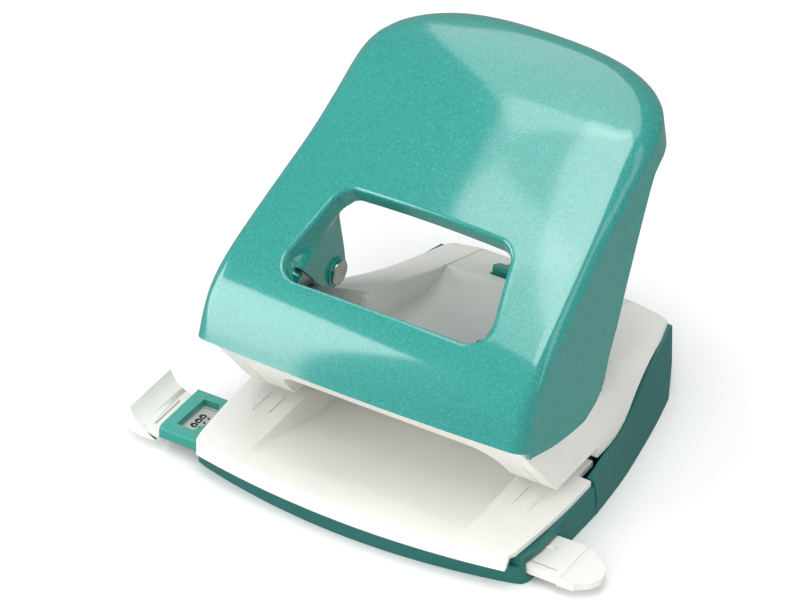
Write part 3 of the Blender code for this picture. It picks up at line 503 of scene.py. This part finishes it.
# ears bent down from the sides of the window: front lobe on the axle, rear lobe on the drive pin
ear = {
    "innerX": 29.6, "axle": (-21.0, 45.0), "pin": (0.0, 53.0), "frontLobe": 6.0, "rearLobe": 5.2,
    "axleHole": 2.15, "pinHole": 1.95, "start": 25.0, "corner": 8, "notch": (-19.2, 65.6),
}


def earGoals(tops):
    split = min(range(len(tops)), key=lambda i: abs(tops[i].y - ear["notch"][0]))
    front = [tuple(tops[0].yz), (-27.6, 52.0)] + arc(ear["axle"], ear["frontLobe"], 172, 415, 24)
    front += [(-19.7, 52.0), (-19.7, 64.6), ear["notch"]]
    rear = [ear["notch"], (-18.4, 65.2), (-8.6, 53.6)] + arc(ear["pin"], ear["rearLobe"], 222, 358, 16)
    rear += [(4.3, 59.0), (2.9, 66.0), (2.0, 70.6), (2.3, 73.4), tuple(tops[-1].yz)]
    return spread(front, split) + spread(rear, len(tops) - 1 - split)[1:]


def makeLeverShell():
    outer, inner = leverOutline(), windowOutline()
    outerOut, innerOut = outwardOf(outer), outwardOf(inner)
    bm = bmesh.new()
    window = ringOf(bm, [skin(x, s) for x, s in inner])
    chain = window
    for k in range(1, lever["rings"] + 1):
        t = k / lever["rings"]
        chain = pullChain(bm, chain, [skin(a[0] + (b[0] - a[0]) * t, a[1] + (b[1] - a[1]) * t)
                                      for a, b in zip(inner, outer)])
    # fold and flange run up both sides and over the top, and leave the front edge open
    order = list(range(lever["bottomSteps"], len(outer))) + [0]
    rim = [chain[i] for i in order]
    frames = []
    for i in order:
        x, s = outer[i]
        out = outerOut[i]
        if s < 6:
            out = Vector((math.copysign(1, x), 0)).lerp(out, max(0, s / 6)).normalized()
        frames.append((x, s, skin(x, s), skinNormal(x, s), skinAway(x, s, out)))
    radius = lever["foldRadius"]
    for angle in range(10, 100, 10):
        turn, points = math.radians(angle), []
        for x, s, place, normal, away in frames:
            reach = smoothAt(lever["foldReach"], s)
            points.append(place + reach * math.sin(turn) * away - radius * (1 - math.cos(turn)) * normal)
        rim = pullChain(bm, rim, points, closed=False)
    edges, downs = [], []
    for vert, (x, s, place, normal, away) in zip(rim, frames):
        share = min(1, max(0, s / 26))
        down = Vector((-normal.y, -normal.z)).normalized()
        down = Vector(lever["frontEdge"]).lerp(down, share * share * (3 - 2 * share)).normalized()
        depth = flangeDepth(vert.co.yz, down)
        lift = min(1, max(0, (s - lever["domeStart"] + 6) / (lever["domeEnd"] - lever["domeStart"])))
        depth = max(5.5, min(depth, 22.0 - 15.0 * lift)) if lift > 0 else depth
        edges.append(depth)
        downs.append(down)
    edges = [(a + 2 * b + c) / 4 for a, b, c in zip(edges[:1] + edges, edges, edges[1:] + edges[-1:])]
    start = [vert.co.copy() for vert in rim]
    for share in (0.12, 0.3, 0.5, 0.7, 0.88, 1.0):
        points = []
        for point, depth, down, (x, s, place, normal, away) in zip(start, edges, downs, frames):
            end = point + Vector((0, down.x, down.y)) * depth * share
            end.x += math.copysign(min(abs(x) / 30, 1) * lever["flare"] * depth * share, x)
            points.append(end)
        rim = pullChain(bm, rim, points, closed=False)
    # rim of the window, turned down deeper at its upper edge and sides
    rim = window
    for angle, extra in ((25, 0), (50, 0), (75, 0), (90, 0), (90, 0.35), (90, 0.7), (90, 1.0)):
        turn, points = math.radians(angle), []
        for (x, s), out in zip(inner, innerOut):
            away, normal = skinAway(x, s, -out), skinNormal(x, s)
            upper = min(1, max(0, (s - lever["windowLow"] - 5) / 14))
            point = skin(x, s) + lever["rimRadius"] * (math.sin(turn) * away - (1 - math.cos(turn)) * normal)
            points.append(point - normal * extra * (0.4 + 4.2 * upper))
        rim = pullChain(bm, rim, points)
    turn = lever["bottomSteps"] + lever["sideSteps"]
    right = [i for i in range(lever["bottomSteps"], turn + ear["corner"]) if inner[i][1] > ear["start"]]
    left = []
    for i in right:
        x, s = inner[i]
        left.append(min(range(len(inner)), key=lambda j: abs(inner[j][0] + x) + abs(inner[j][1] - s)))
    for hand, order in ((1, right), (-1, left)):
        strip = [rim[i] for i in order]
        tops = [vert.co.copy() for vert in strip]
        goals = earGoals(tops)
        for k in range(1, 13):
            share, points = k / 12, []
            for top, (y, z) in zip(tops, goals):
                goal = Vector((hand * ear["innerX"], y, z))
                point = top.lerp(goal, share)
                bent = min(1, (goal.yz - top.yz).length * share / 4)
                point.x = top.x + (goal.x - top.x) * bent * bent * (3 - 2 * bent)
                points.append(point)
            strip = pullChain(bm, strip, points, closed=False)
    bmesh.ops.recalc_face_normals(bm, faces=bm.faces)
    plate = max(bm.faces, key=lambda f: f.calc_center_median().z)
    if plate.normal.z < 0:
        bmesh.ops.reverse_faces(bm, faces=bm.faces)
    shell = makePiece("leverShell", bm, leverPaint, outward=False)
    wall = shell.modifiers.new("sheet", "SOLIDIFY")
    wall.thickness, wall.offset = lever["sheet"] * mm, -1
    combine(shell, [rod((hand * 26, *ear[place]), (hand * 34, *ear[place]), ear[place + "Hole"])
                    for hand in (-1, 1) for place in ("axle", "pin")])
    return dress(shell, "lever", ["press_lever"], bevel=0.35, segments=2, angle=50)


# pins that drive the punches; the disc heads show in the window
drivePin = {
    "headRadius": 3.75, "headLow": 1.6, "headHigh": 0.75, "shank": 1.8, "reach": 44.2,
    "collarRadius": 4.3, "collarStart": 0.72, "collarThick": 0.68, "collarGap": 0.25,
}


def makeDrivePins():
    for hand, side in ((-1, "left"), (1, "right")):
        y, z = ear["pin"]
        base = (hand * (ear["innerX"] - drivePin["headLow"]), y, z)
        thick = drivePin["headLow"] - drivePin["headHigh"]
        length = drivePin["reach"] - ear["innerX"] + drivePin["headLow"]
        head, shank = drivePin["headRadius"], drivePin["shank"]
        profile = [(0, 0.12), (head - 0.7, 0.12), (head - 0.35, 0.0), (head - 0.1, 0.08), (head, 0.25),
                   (head, thick - 0.1), (head - 0.1, thick), (shank, thick), (shank, length - 0.5),
                   (shank - 0.5, length), (0, length)]
        pin = makePiece("drivePin" + side.capitalize(), turned(base, (hand, 0, 0), profile), brightSteel)
        dress(pin, "lever", ["drive_pin_" + side])
        start = (hand * (ear["innerX"] - drivePin["collarStart"]), y, z)
        outer, inner, deep = drivePin["collarRadius"], shank + drivePin["collarGap"], drivePin["collarThick"]
        ring = [(inner, 0), (outer - 0.2, 0), (outer, 0.2), (outer, deep), (inner, deep), (inner, 0)]
        collar = makePiece("pinCollar" + side.capitalize(), turned(start, (hand, 0, 0), ring), leverPaint)
        dress(collar, "lever", ["pin_collar_" + side])


# moulded cover: soft-edged sections lofted from the lip to the rear edge
cover = {
    "foot": [(-33.6, 50.0), (-13.2, 50.3), (9.5, 50.3), (22, 49.3), (39, 45.6), (54, 42.2), (62, 40.3),
             (74, 37.4)],
    "footZ": [(9.6, 12.9), (20.6, 12.3), (30, 12.4), (38.1, 14.4), (45.4, 15.9), (54, 16.4), (62, 15.8),
              (74, 14.0)],
    "edge": [(-33.6, 50.0), (-13.2, 50.2), (9.5, 49.6), (22.3, 47.3), (39, 43.9), (54, 40.6), (62, 38.9),
             (74, 36.2)],
    "edgeZ": [(-33.6, 43.4), (-30, 42.4), (-13, 40.6), (9.5, 35.6), (22.3, 30.4), (39, 24.2), (52, 20.5),
              (60.6, 18.6), (69.6, 17.0), (74, 16.4)],
    "deckZ": [(-33.6, 44.4), (-13, 45.0), (9.5, 41.8), (22, 36.9), (39, 30.3), (50, 26.0), (62, 21.9),
              (74, 18.0)],
    "throatTop": [(-46, 30.8), (-23.8, 30.2), (-14, 26.6), (2, 20.6), (7, 18.0), (11.2, 17.2)],
    "throatHalf": [(-46, 35.6), (-23.8, 35.4), (-14, 35.2), (-4, 34.9), (11.2, 34.8)],
    "throatRadius": [(-46, 7.5), (-14, 7.0), (0, 5.0), (11.2, 2.0)],
    "edgeRadius": [(-33.6, 0.8), (-20, 1.6), (9.5, 3.0), (22, 4.5), (40, 3.6), (60, 1.8), (74, 1.2)],
    "shoulder": 25.0, "front": -33.6, "frontFootZ": 42.4, "heel": -13.2, "heelZ": 16.6, "slotEnd": 9.5,
    "wall": 2.0, "legInner": 34.8, "wellHalf": 48.2, "recessHalf": 24.4, "seam": 0.45,
}


def coverSection(y, inset=0.0, drop=0.0):
    if y <= cover["slotEnd"]:
        t = (y - cover["front"]) / (cover["heel"] - cover["front"])
        footZ = cover["frontFootZ"] + (cover["heelZ"] - cover["frontFootZ"]) * min(1, t)
    else:
        footZ = smoothAt(cover["footZ"], y)
    foot, edge = smoothAt(cover["foot"], y) - inset, smoothAt(cover["edge"], y) - inset
    edgeZ, deckZ = smoothAt(cover["edgeZ"], y) - inset, smoothAt(cover["deckZ"], y) - inset
    footZ -= drop
    corner, base, top = Vector((edge, edgeZ)), Vector((foot, footZ)), Vector((cover["shoulder"], deckZ))
    soft = smoothAt(cover["edgeRadius"], y)
    down = (base - corner).normalized() * min(soft, (base - corner).length * 0.7)
    inward = (top - corner).normalized() * soft * 1.5
    half = [base]
    for k in range(9):
        t = k / 8
        half.append((corner + down) * (1 - t) ** 2 + corner * 2 * t * (1 - t) + (corner + inward) * t ** 2)
    half += [top + Vector((0.8, -0.12)), top, top - Vector((2.0, -0.05))]
    return [(p.x, y, p.y) for p in half] + [(-p.x, y, p.y) for p in reversed(half)]


# opening between the legs, arched in front view and splayed towards the lip
def throatSection(y, half, topZ, radius):
    side = [(half, -3.0)] + arc((half - radius, topZ - radius), radius, 0, 90, 8)
    return [(x, y, z) for x, z in side] + [(-x, y, z) for x, z in reversed(side)]


def makeCover():
    end = cover["slotEnd"]
    stations = [cover["front"], -32.6, -30, -25, -19, cover["heel"], -6, 2, end - 0.05, end + 0.05]
    stations += [13 + 4 * i for i in range(15)] + [71.5, 73.2, 74.0]
    sections = [coverSection(y) for y in stations[:-2]]
    sections += [coverSection(73.2, 0.25), coverSection(74.0, 0.9)]
    shell = makePiece("coverShell", loft(bmesh.new(), sections), whitePlastic)
    throat = []
    for y in (-46, -30, -26, -23.8, -20, -16, -12, -8, -4, 0, 3, 6, 9, 11.2):
        wide, top = smoothAt(cover["throatHalf"], y), smoothAt(cover["throatTop"], y)
        throat.append(throatSection(y, wide, top, smoothAt(cover["throatRadius"], y)))
    half = cover["wellHalf"]
    well = [(-29.0, 37.6), (9.4, 21.2), (9.4, 60), (-31.6, 60)]
    tools = [loft(bmesh.new(), throat), prism(well, "X", -half, half)]
    for hand in (-1, 1):
        low, high = mirrored(hand, cover["legInner"] + 1.4, half)
        tools.append(prism([(-11.9, 17.9), (12.1, 17.9), (12.1, 5.0), (14.8, 5.0), (14.8, 33.0), (9.0, 35.0),
                            (-11.9, 35.0)], "X", low, high))
        tools.append(rod((hand * 40, 0, 10), (hand * 40, 0, 20), 3.35))
        low, high = mirrored(hand, 44.5, 44.95)  # thin slit up the front of each leg
        tools.append(prism([(-24.0, 26.0), (-12.6, 12.0), (-12.2, 17.0), (-22.0, 29.0)], "X", low, high))
    hollow = [coverSection(y, cover["wall"], 30) for y in (15.0, 19, 24, 30, 36, 42, 48, 54, 60, 66, 71.6)]
    tools.append(loft(bmesh.new(), hollow))
    combine(shell, tools)
    reach = cover["shoulder"] + 1.4
    underlay = [(8.0, 26.4), (52.8, 19.2), (52.8, 23.4), (8.0, 40.6)]
    combine(shell, [prism(underlay, "X", -reach, reach)], "UNION")
    floor = [(5.0, 29.1), (36.0, 23.5), (40.0, 23.0), (43.5, 23.0), (47.0, 23.7), (50.5, 24.9), (53.5, 25.8),
             (53.5, 60), (5.0, 60)]
    deckEnd = smoothAt(cover["deckZ"], 73.9)
    groove = [(50.0, 30.0), (50.0, 25.4), (74.5, deckEnd - 0.6), (74.5, 30.0)]
    tools = [prism(floor, "X", -cover["recessHalf"], cover["recessHalf"])]
    tools.append(block((-13.3, 56.5, 8), (13.3, 69.5, 40)))  # window of the lock
    for hand in (-1, 1):
        low, high = mirrored(hand, cover["recessHalf"], cover["recessHalf"] + cover["seam"])
        tools.append(prism(groove, "X", low, high))
    combine(shell, tools)
    dress(shell, "base", ["top_cover"], bevel=0.45, segments=3, angle=38)


# paper table: level strips under the legs and a middle panel that dips to the back
table = {
    "top": 11.7, "sink": 4.7, "creaseX": 35.2, "creaseLean": 0.75, "wall": 1.8, "lip": 6.9,
    "frontLow": -41.4, "frontTop": -40.4, "bulge": 4.9,
    "half": [(-41, 50.6), (-37, 51.6), (-15, 53.3), (0.7, 53.4)],
    "backHalf": 49.2, "step": 0.7, "narrowHalf": 44.8, "narrowFrom": 9.0, "back": 20.0,
}


def tableRow(y, half, z, dip=0.0, bulge=0.0):
    crease = table["creaseX"]
    inner = crease - 0.35 - table["creaseLean"] * dip
    shares = [-1.0, -0.93, -0.86, -0.79]
    xs = [half * n for n in shares] + [-crease] + [-inner + 2 * inner * i / 12 for i in range(13)] + [crease]
    xs += [-half * n for n in reversed(shares)]
    points = []
    for i, x in enumerate(xs):
        low = z - dip if 5 <= i <= 17 else z
        points.append((x, y - bulge * (1 - (x / half) ** 2), low))
    return points


def makeTable():
    bm = bmesh.new()
    rows = [tableRow(table["frontLow"], 50.4, table["lip"], 0.0, table["bulge"]),
            tableRow(table["frontTop"], 50.9, table["top"], 0.0, table["bulge"])]
    for y in (-37.2, -33, -28, -22, -15, -11, -6, 0, table["step"]):
        dip = table["sink"] * min(1, max(0, (y + 37.2) / 31.2))
        rows.append(tableRow(y, smoothAt(table["half"], y), table["top"], dip, max(0, (-30 - y) / 10)))
    rows += [tableRow(table["step"] + 0.2, table["backHalf"], table["top"], table["sink"]),
             tableRow(table["narrowFrom"], table["backHalf"], table["top"], table["sink"]),
             tableRow(table["narrowFrom"] + 0.2, table["narrowHalf"], table["top"], table["sink"]),
             tableRow(table["back"], table["narrowHalf"], table["top"], table["sink"])]
    chain = [bm.verts.new(point) for point in rows[0]]
    for pair in zip(chain, chain[1:]):
        bm.edges.new(pair)
    for row in rows[1:]:
        chain = pullChain(bm, chain, row, closed=False)
    bmesh.ops.recalc_face_normals(bm, faces=bm.faces)
    if sum(f.normal.z * f.calc_area() for f in bm.faces) < 0:
        bmesh.ops.reverse_faces(bm, faces=bm.faces)
    bmesh.ops.solidify(bm, geom=bm.faces[:], thickness=table["wall"])
    piece = makePiece("paperTable", bm, whitePlastic)
    tools = []
    for hand in (-1, 1):
        tools.append(rod((hand * 40, 0, 5), (hand * 40, 0, 15), 3.35))
        low, high = mirrored(hand, 36.1, 47.5)
        tools.append(block((low, 12.2, 5), (high, 30, 15)))
        tools.append(block((hand * 40 - 0.3, -19.5, 11.3), (hand * 40 + 0.3, -10.0, 13)))  # centring marks
    combine(piece, tools)
    ridges = [block((hand * 45 - 0.25, -21.0, 11.0), (hand * 45 + 0.25, -11.0, 12.0)) for hand in (-1, 1)]
    combine(piece, ridges, "UNION")
    dress(piece, "base", ["paper_table"], bevel=0.5, segments=3, angle=40)


# base in two parts that meet at the seam: fixed front and swing-down chip tray
base = {
    "seam": 1.0, "floor": 1.8, "sideTop": 9.8, "browZ": 6.6, "steps": 28,
    "hinge": (-12.5, 2.8), "railChannel": (-35.3, -18.9, 2.7, 6.9),
}


def baseOutline(frontY, bulge, halfFront, halfBack, backY, corner=3.0):
    points = []
    for i in range(base["steps"] + 1):
        x = -halfFront + 2 * halfFront * i / base["steps"]
        points.append((x, frontY - bulge * (1 - (x / halfFront) ** 2)))
    lead = Vector((halfBack - halfFront, -28.0 - frontY)).normalized()
    near = [(halfFront, frontY, corner), (halfBack, -28.0, 0)]
    points[0] = (points[0][0] + corner * 0.35, points[0][1])
    points[-1] = (points[-1][0] - corner * 0.35, points[-1][1])
    points.append((halfFront + lead.x * corner * 0.4, frontY + lead.y * corner * 0.6))
    points += [(near[1][0], near[1][1]), (halfBack, backY), (-halfBack, backY), (-near[1][0], near[1][1])]
    points.append((-halfFront - lead.x * corner * 0.4, frontY + lead.y * corner * 0.6))
    return points


def makeFrontBase():
    def level(z, *sizes):
        return [(x, y, z) for x, y in baseOutline(*sizes)]
    seam, hingeY, hingeZ = base["seam"], *base["hinge"]
    outer = [level(0.0, -36.3, 7.4, 53.8, 54.8, seam), level(0.5, -36.5, 7.5, 54.0, 55.0, seam),
             level(6.0, -37.6, 6.6, 53.4, 54.7, seam), level(base["sideTop"], -38.6, 5.6, 52.6, 54.4, seam)]
    piece = makePiece("frontBase", loft(bmesh.new(), outer), tealPlastic)
    inside = [level(base["floor"], -33.5, 6.5, 51.5, 52.9, seam + 5),
              level(20.0, -35.9, 5.0, 48.8, 50.6, seam + 5)]
    front, back, low, high = base["railChannel"]
    ledge = [(-60, -70), (60, -70), (52.2, -15), (52.2, 30), (-52.2, 30), (-52.2, -15)]
    combine(piece, [loft(bmesh.new(), inside), block((-60, -60, base["browZ"]), (60, -37.0, 20)),
                    prism(ledge, "Z", 9.5, 20), block((-70, front, low), (70, back, high)),
                    block((-70, -38.5, 4.3), (-51.3, -16.4, 20)),
                    block((-51, hingeY - 3.4, -1), (51, 30, base["floor"] + 0.5))])
    for hand in (-1, 1):
        lowX, highX = mirrored(hand, 48.0, 53.0)
        combine(piece, [block((lowX, hingeY - 3.4, 0.4), (highX, hingeY + 2.6, 5.4))], "UNION")
        lowX, highX = mirrored(hand, 40.0, 52.4)
        combine(piece, [rod((lowX, hingeY, hingeZ), (highX, hingeY, hingeZ), 1.5)])
    dress(piece, "base", ["front_base"], bevel=0.35, segments=2, angle=40)


tray = {
    "low": [(1.3, 54.9), (20, 53.2), (38, 50.2), (49, 48.0), (59, 45.6)],
    "highHalf": [(1.3, 54.2), (20, 51.2), (39, 46.4), (54, 42.9), (72.4, 38.8)],
    "rim": [(0, 11.9), (0.1, 12.6), (0.25, 12.0), (0.45, 12.1), (0.62, 14.3), (0.78, 15.6), (1, 15.2)],
    "backLow": 59.0, "backHigh": 72.4, "wall": 2.0,
}


def traySection(share, inset=0.0, lift=0.0, extraTop=0.0):
    lowY = 1.3 + (tray["backLow"] - 1.3) * share
    highY = 1.3 + (tray["backHigh"] - 1.3) * share
    lowX, highX = smoothAt(tray["low"], lowY), smoothAt(tray["highHalf"], highY)
    rim = smoothAt(tray["rim"], share)
    slope, rake = (highX - lowX) / rim, (highY - lowY) / rim
    rows = []
    for z in (lift, (lift + rim) / 2, rim + extraTop):
        swell = 0.5 if 0 < z < rim and not inset else 0.0
        rows.append((lowX + slope * z - inset + swell, lowY + rake * z, z))
    return rows + [(-x, y, z) for x, y, z in reversed(rows)]


def makeChipTray():
    shares = [i / 16 for i in range(17)]
    piece = makePiece("chipTray", loft(bmesh.new(), [traySection(share) for share in shares]), tealPlastic)
    inside = []
    for share in [-0.12] + shares[1:-1] + [0.965]:
        inside.append(traySection(share, tray["wall"], base["floor"], 8.0))
    combine(piece, [loft(bmesh.new(), inside)])
    hingeY, hingeZ = base["hinge"]
    tongue = block((-47.6, hingeY + 0.4, 0.0), (47.6, base["seam"] + 3, base["floor"] - 0.1))
    combine(piece, [tongue], "UNION")
    for hand in (-1, 1):
        low, high = mirrored(hand, 42.0, 47.6)
        combine(piece, [rod((low, hingeY, hingeZ), (high, hingeY, hingeZ), 2.6)], "UNION")
        low, high = mirrored(hand, 41.0, 53.0)
        combine(piece, [rod((low, hingeY, hingeZ), (high, hingeY, hingeZ), 1.5)])
    dress(piece, "tray", ["chip_tray"], bevel=0.35, segments=2, angle=40)


# sliding paper guide
guide = {
    "front": -34.8, "back": -19.4, "low": 3.2, "high": 6.4, "left": -65.7, "right": 51.5,
    "labelFront": -33.2, "labelBack": -21.0, "digitSize": 7.4,
}


def makeRail():
    left, right, front, back = guide["left"], guide["right"], guide["front"], guide["back"]
    bm = block((left, front, guide["low"]), (right, back, guide["high"]))
    rail = makePiece("guideRail", bm, paleGreyPlastic)
    combine(rail, [block((left + 3, front + 1.6, -1), (right - 3, back - 1.6, 4.6)),
                   block((-63.5, front + 1.2, 5.45), (22.5, back - 1.2, 9))])
    dress(rail, "paper_guide", ["guide_rail"], bevel=0.3)
    bm = block((-63.1, guide["labelFront"], 5.75), (22.1, guide["labelBack"], 6.3))
    strip = makePiece("formatStrip", bm, labelPaper)
    dress(strip, "paper_guide", ["format_strip"], bevel=0.1)


# digits on the strip: one group shows in the window at each setting
def makeDigits():
    bm = bmesh.new()
    for k, x in enumerate((-56.4, -35.4, -14.4, 6.6)):
        text = bpy.data.curves.new("digits", "FONT")
        text.body, text.size, text.align_x, text.align_y = "888", guide["digitSize"], "CENTER", "CENTER"
        text.extrude, text.offset = 0.03, 0.18
        holder = bpy.data.objects.new("digits", text)
        bpy.context.scene.collection.objects.link(holder)
        bpy.context.view_layer.update()
        mesh = bpy.data.meshes.new_from_object(holder.evaluated_get(bpy.context.evaluated_depsgraph_get()))
        mesh.transform(Matrix.Translation((x - 1.2, -27.2, 6.36)) @ Matrix.Rotation(math.pi / 2, 4, "Z")
                       @ Matrix.Diagonal((0.62, 0.8, 1, 1)))
        bm.from_mesh(mesh)
        bpy.data.objects.remove(holder)
        for n in range(5):
            bmesh.ops.create_circle(bm, cap_ends=True, segments=12, radius=0.28,
                                    matrix=Matrix.Translation((x + 3.0, -30.4 + 1.6 * n, 6.39)))
    digits = makePiece("formatDigits", bm, labelInk, outward=False)
    dress(digits, "paper_guide")


# teal frame over the rail; its opening is a square with one bowed side
railWindow = {
    "left": -65.2, "right": -51.8, "bowCentre": (-66.5, -27.4), "bowRadius": 12.4,
    "section": [(-38.0, 4.9, 0.4), (-36.0, 4.9, 0), (-35.6, 7.0, 0), (-18.6, 7.0, 0), (-18.4, 4.9, 0),
                (-17.0, 4.9, 0.3), (-17.0, 8.9, 1.0), (-38.0, 8.9, 1.9)],
}


def makeRailWindow():
    bm = prism(rounded(railWindow["section"], 6), "X", railWindow["left"], railWindow["right"])
    piece = makePiece("railWindow", bm, lightTealPlastic)
    opening = arc(railWindow["bowCentre"], railWindow["bowRadius"], -34, 34, 14)
    combine(piece, [prism(opening + [(-61.2, -20.6), (-61.6, -34.2)], "Z", 4, 12)])
    dress(piece, "base", ["rail_window"], bevel=0.4, segments=3, angle=30)


# scooped stop that the sheet's edge rests against
endStop = {"front": -38.2, "back": -17.0, "scoopCentre": (-65.6, 14.2), "scoopRadius": 9.4}


def makeEndStop():
    scoop = arc(endStop["scoopCentre"], endStop["scoopRadius"], 268, 193, 16)
    back = [(-75.2, 12.3), (-78.9, 12.3)] + arc((-77.6, 10.9), 2.4, 150, 200, 3)
    under = arc((-69.5, 14.0), 11.0, 207, 262, 8)
    outline = scoop + back + under + [(-66.0, 3.3)]
    piece = makePiece("endStop", prism(outline, "Y", endStop["front"], endStop["back"]), stopPlastic)
    combine(piece, [block((-69.5, -33.8, 4.35), (-69.0, -20.8, 9))])
    dress(piece, "paper_guide", ["end_stop"], bevel=0.55, segments=4, angle=36)


# flat tab with a rounded, thinned tip
def makeRailTab():
    left, front, back = guide["right"] + 0.3, guide["front"], guide["back"]
    outline = [(left, front), (63.0, front), (63.3, front - 0.5), (68.6, front - 0.2), (69.0, front + 0.6)]
    outline += arc((67.0, front + 7.2), 6.6, -58, 70, 12)
    outline += [(66.8, back - 0.7), (66.4, back), (62.0, back + 0.2), (left, back)]
    bm = prism(outline, "Z", guide["low"], guide["high"])
    piece = makePiece("railTab", bm, stopPlastic)
    tip = [(64.2, 6.05), (70.5, 5.4), (80, 4.0), (80, 12), (64.2, 12)]
    combine(piece, [prism(tip, "Y", front - 3, back + 3),
                    block((left + 1.6, front + 1.7, 5.2), (62.2, front + 2.3, 9)),
                    rod((56.0, -25.4, 5.9), (56.0, -25.4, 9), 1.7)])
    dress(piece, "paper_guide", ["rail_tab"], bevel=0.35, segments=3, angle=30)


# catch that slides back to hold the lever down
lock = {
    "half": 12.9, "footHalf": 15, "footFront": 54.8, "footBack": 63.6, "footLow": 14.2, "footHigh": 15.8,
    "thumb": [(58.0, 15.0, 0), (64.4, 15.0, 0), (64.4, 22.4, 0.8), (62.4, 24.0, 0.8), (58.6, 25.9, 0.8),
              (58.0, 25.0, 0.4)],
    "ridges": 3, "ridgeStart": 59.6, "ridgeStep": 1.4, "ridgeWide": 0.5, "ridgeHalf": 9, "ridgeFall": 0.72,
}


def makeLock():
    bm = prism(rounded(lock["thumb"], 4), "X", -lock["half"], lock["half"])
    piece = makePiece("lockCatch", bm, lightTealPlastic)
    combine(piece, [block((-lock["footHalf"], lock["footFront"], lock["footLow"]),
                          (lock["footHalf"], lock["footBack"], lock["footHigh"]))], "UNION")
    tools = []
    for k in range(lock["ridges"]):
        y = lock["ridgeStart"] + lock["ridgeStep"] * k
        low = 25.2 - lock["ridgeFall"] * (y - 58.6) + 0.2
        tools.append(block((-lock["ridgeHalf"], y, low), (lock["ridgeHalf"], y + lock["ridgeWide"], 30)))
    combine(piece, tools)
    dress(piece, "lock", ["lever_lock"], bevel=0.4)


# return springs: a wire circle spun up its helix
spring = {"low": 25.9, "high": 43.9, "coil": 3.9, "wire": 0.5, "turns": 6, "steps": 40}


def makeSprings():
    for hand, side in ((-1, "left"), (1, "right")):
        bm = bmesh.new()
        start = Vector((hand * 40 + spring["coil"], 0, spring["low"] + spring["wire"]))
        upright = Matrix.Translation(start) @ Matrix.Rotation(math.pi / 2, 4, "X")
        ring = bmesh.ops.create_circle(bm, segments=12, radius=spring["wire"], matrix=upright)["verts"]
        steps = spring["turns"] * spring["steps"]
        rise = (spring["high"] - spring["low"] - 2 * spring["wire"]) / steps
        edges = list({edge for v in ring for edge in v.link_edges})
        bmesh.ops.spin(bm, geom=ring + edges, cent=(hand * 40, 0, 0), axis=(0, 0, 1), dvec=(0, 0, rise),
                       angle=2 * math.pi * spring["turns"], steps=steps)
        bmesh.ops.holes_fill(bm, edges=bm.edges)
        coil = makePiece("returnSpring" + side.capitalize(), bm, brightSteel)
        dress(coil, None, ["punch_spring_" + side])
        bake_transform(coil)


makeLeverShell()
makeDrivePins()
print("lever made")
makeCover()
print("cover made")
makeTable()
makeFrontBase()
makeChipTray()
print("table and base made")
makeRail()
makeDigits()
makeRailWindow()
makeEndStop()
makeRailTab()
makeLock()
makeSprings()
print("guide, lock and springs made")

keptNodes = {
    "pivot_axle": brightSteel, "axle_clip_left": zincSteel, "axle_clip_right": zincSteel,
    "punch_frame_left": zincSteel, "punch_frame_right": zincSteel, "punch_left": brightSteel,
    "punch_right": brightSteel, "spring_washer_left": zincSteel, "spring_washer_right": zincSteel,
    "tray_pin_left": zincSteel, "tray_pin_right": zincSteel, "rail_detent": zincSteel,
}
for name, finish in keptNodes.items():
    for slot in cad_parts[name].material_slots:
        slot.material = finish


# lights, floor and camera
studio = {
    "world": 0.32,
    "lights": [  # name, watts, width and depth, place, turn about the upright or None to aim at the piece
        ("overheadSoftbox", 18.0, (1.3, 3.2), (-0.79, 1.36, 1.75), 30),
        ("overheadWide", 3.2, (1.15, 0.62), (-0.09, -0.24, 1.74), 0),
        ("overheadNear", 2.6, (0.62, 0.7), (0.10, -0.20, 1.70), 0),
        ("frontLeftSoftbox", 35.0, (2.05, 1.6), (-1.68, -1.27, 0.69), None),
        ("rightStrip", 1.3, (0.25, 1.6), (1.35, 0.20, 0.95), None),
        ("fill", 29.0, (2.2, 2.2), (0.85, -1.15, 1.65), None),
    ],
    "unmirrored": {"fill"},
}


def addLight(name, energy, size, place, turn):
    lamp = bpy.data.objects.new(name, bpy.data.lights.new(name, "AREA"))
    lamp.data.shape, lamp.data.energy = "RECTANGLE", energy
    lamp.data.size, lamp.data.size_y = size
    lamp.location = place
    if turn is None:
        lamp.rotation_euler = (Vector((0, 0, 0.05)) - lamp.location).to_track_quat("-Z", "Y").to_euler()
    else:
        lamp.rotation_euler = (0, 0, math.radians(turn))
    lamp.visible_glossy = name not in studio["unmirrored"]
    bpy.context.scene.collection.objects.link(lamp)


def setStudio():
    scene = bpy.context.scene
    scene.view_settings.view_transform = "Standard"
    world = bpy.data.worlds.new("studioWorld")
    world.use_nodes = True
    world.node_tree.nodes["Background"].inputs["Color"].default_value = (1, 1, 1, 1)
    world.node_tree.nodes["Background"].inputs["Strength"].default_value = studio["world"]
    scene.world = world
    bm = bmesh.new()
    bmesh.ops.create_grid(bm, x_segments=8, y_segments=8, size=1100)
    bmesh.ops.translate(bm, verts=bm.verts, vec=(0, 0, -0.05))
    pale = makePlastic("paleFloor", (0.95, 0.95, 0.95), 0.75, grain=0.0, drift=0.004)
    floor = makePiece("paleFloor", bm, pale)
    floor.visible_glossy = False
    for light in studio["lights"]:
        addLight(*light)


shot = {"place": (0.6983, -1.1517, 1.0302), "pitch": 35.93, "turn": 31.54, "lens": 269.4}


def setCamera():
    camera = bpy.data.objects.new("shotCamera", bpy.data.cameras.new("shotCamera"))
    camera.data.lens, camera.data.sensor_width = shot["lens"], 36
    camera.location = shot["place"]
    camera.rotation_euler = (math.radians(90 - shot["pitch"]), 0, math.radians(shot["turn"]))
    bpy.context.scene.collection.objects.link(camera)
    bpy.context.scene.camera = camera


setStudio()
setCamera()
print("studio set")
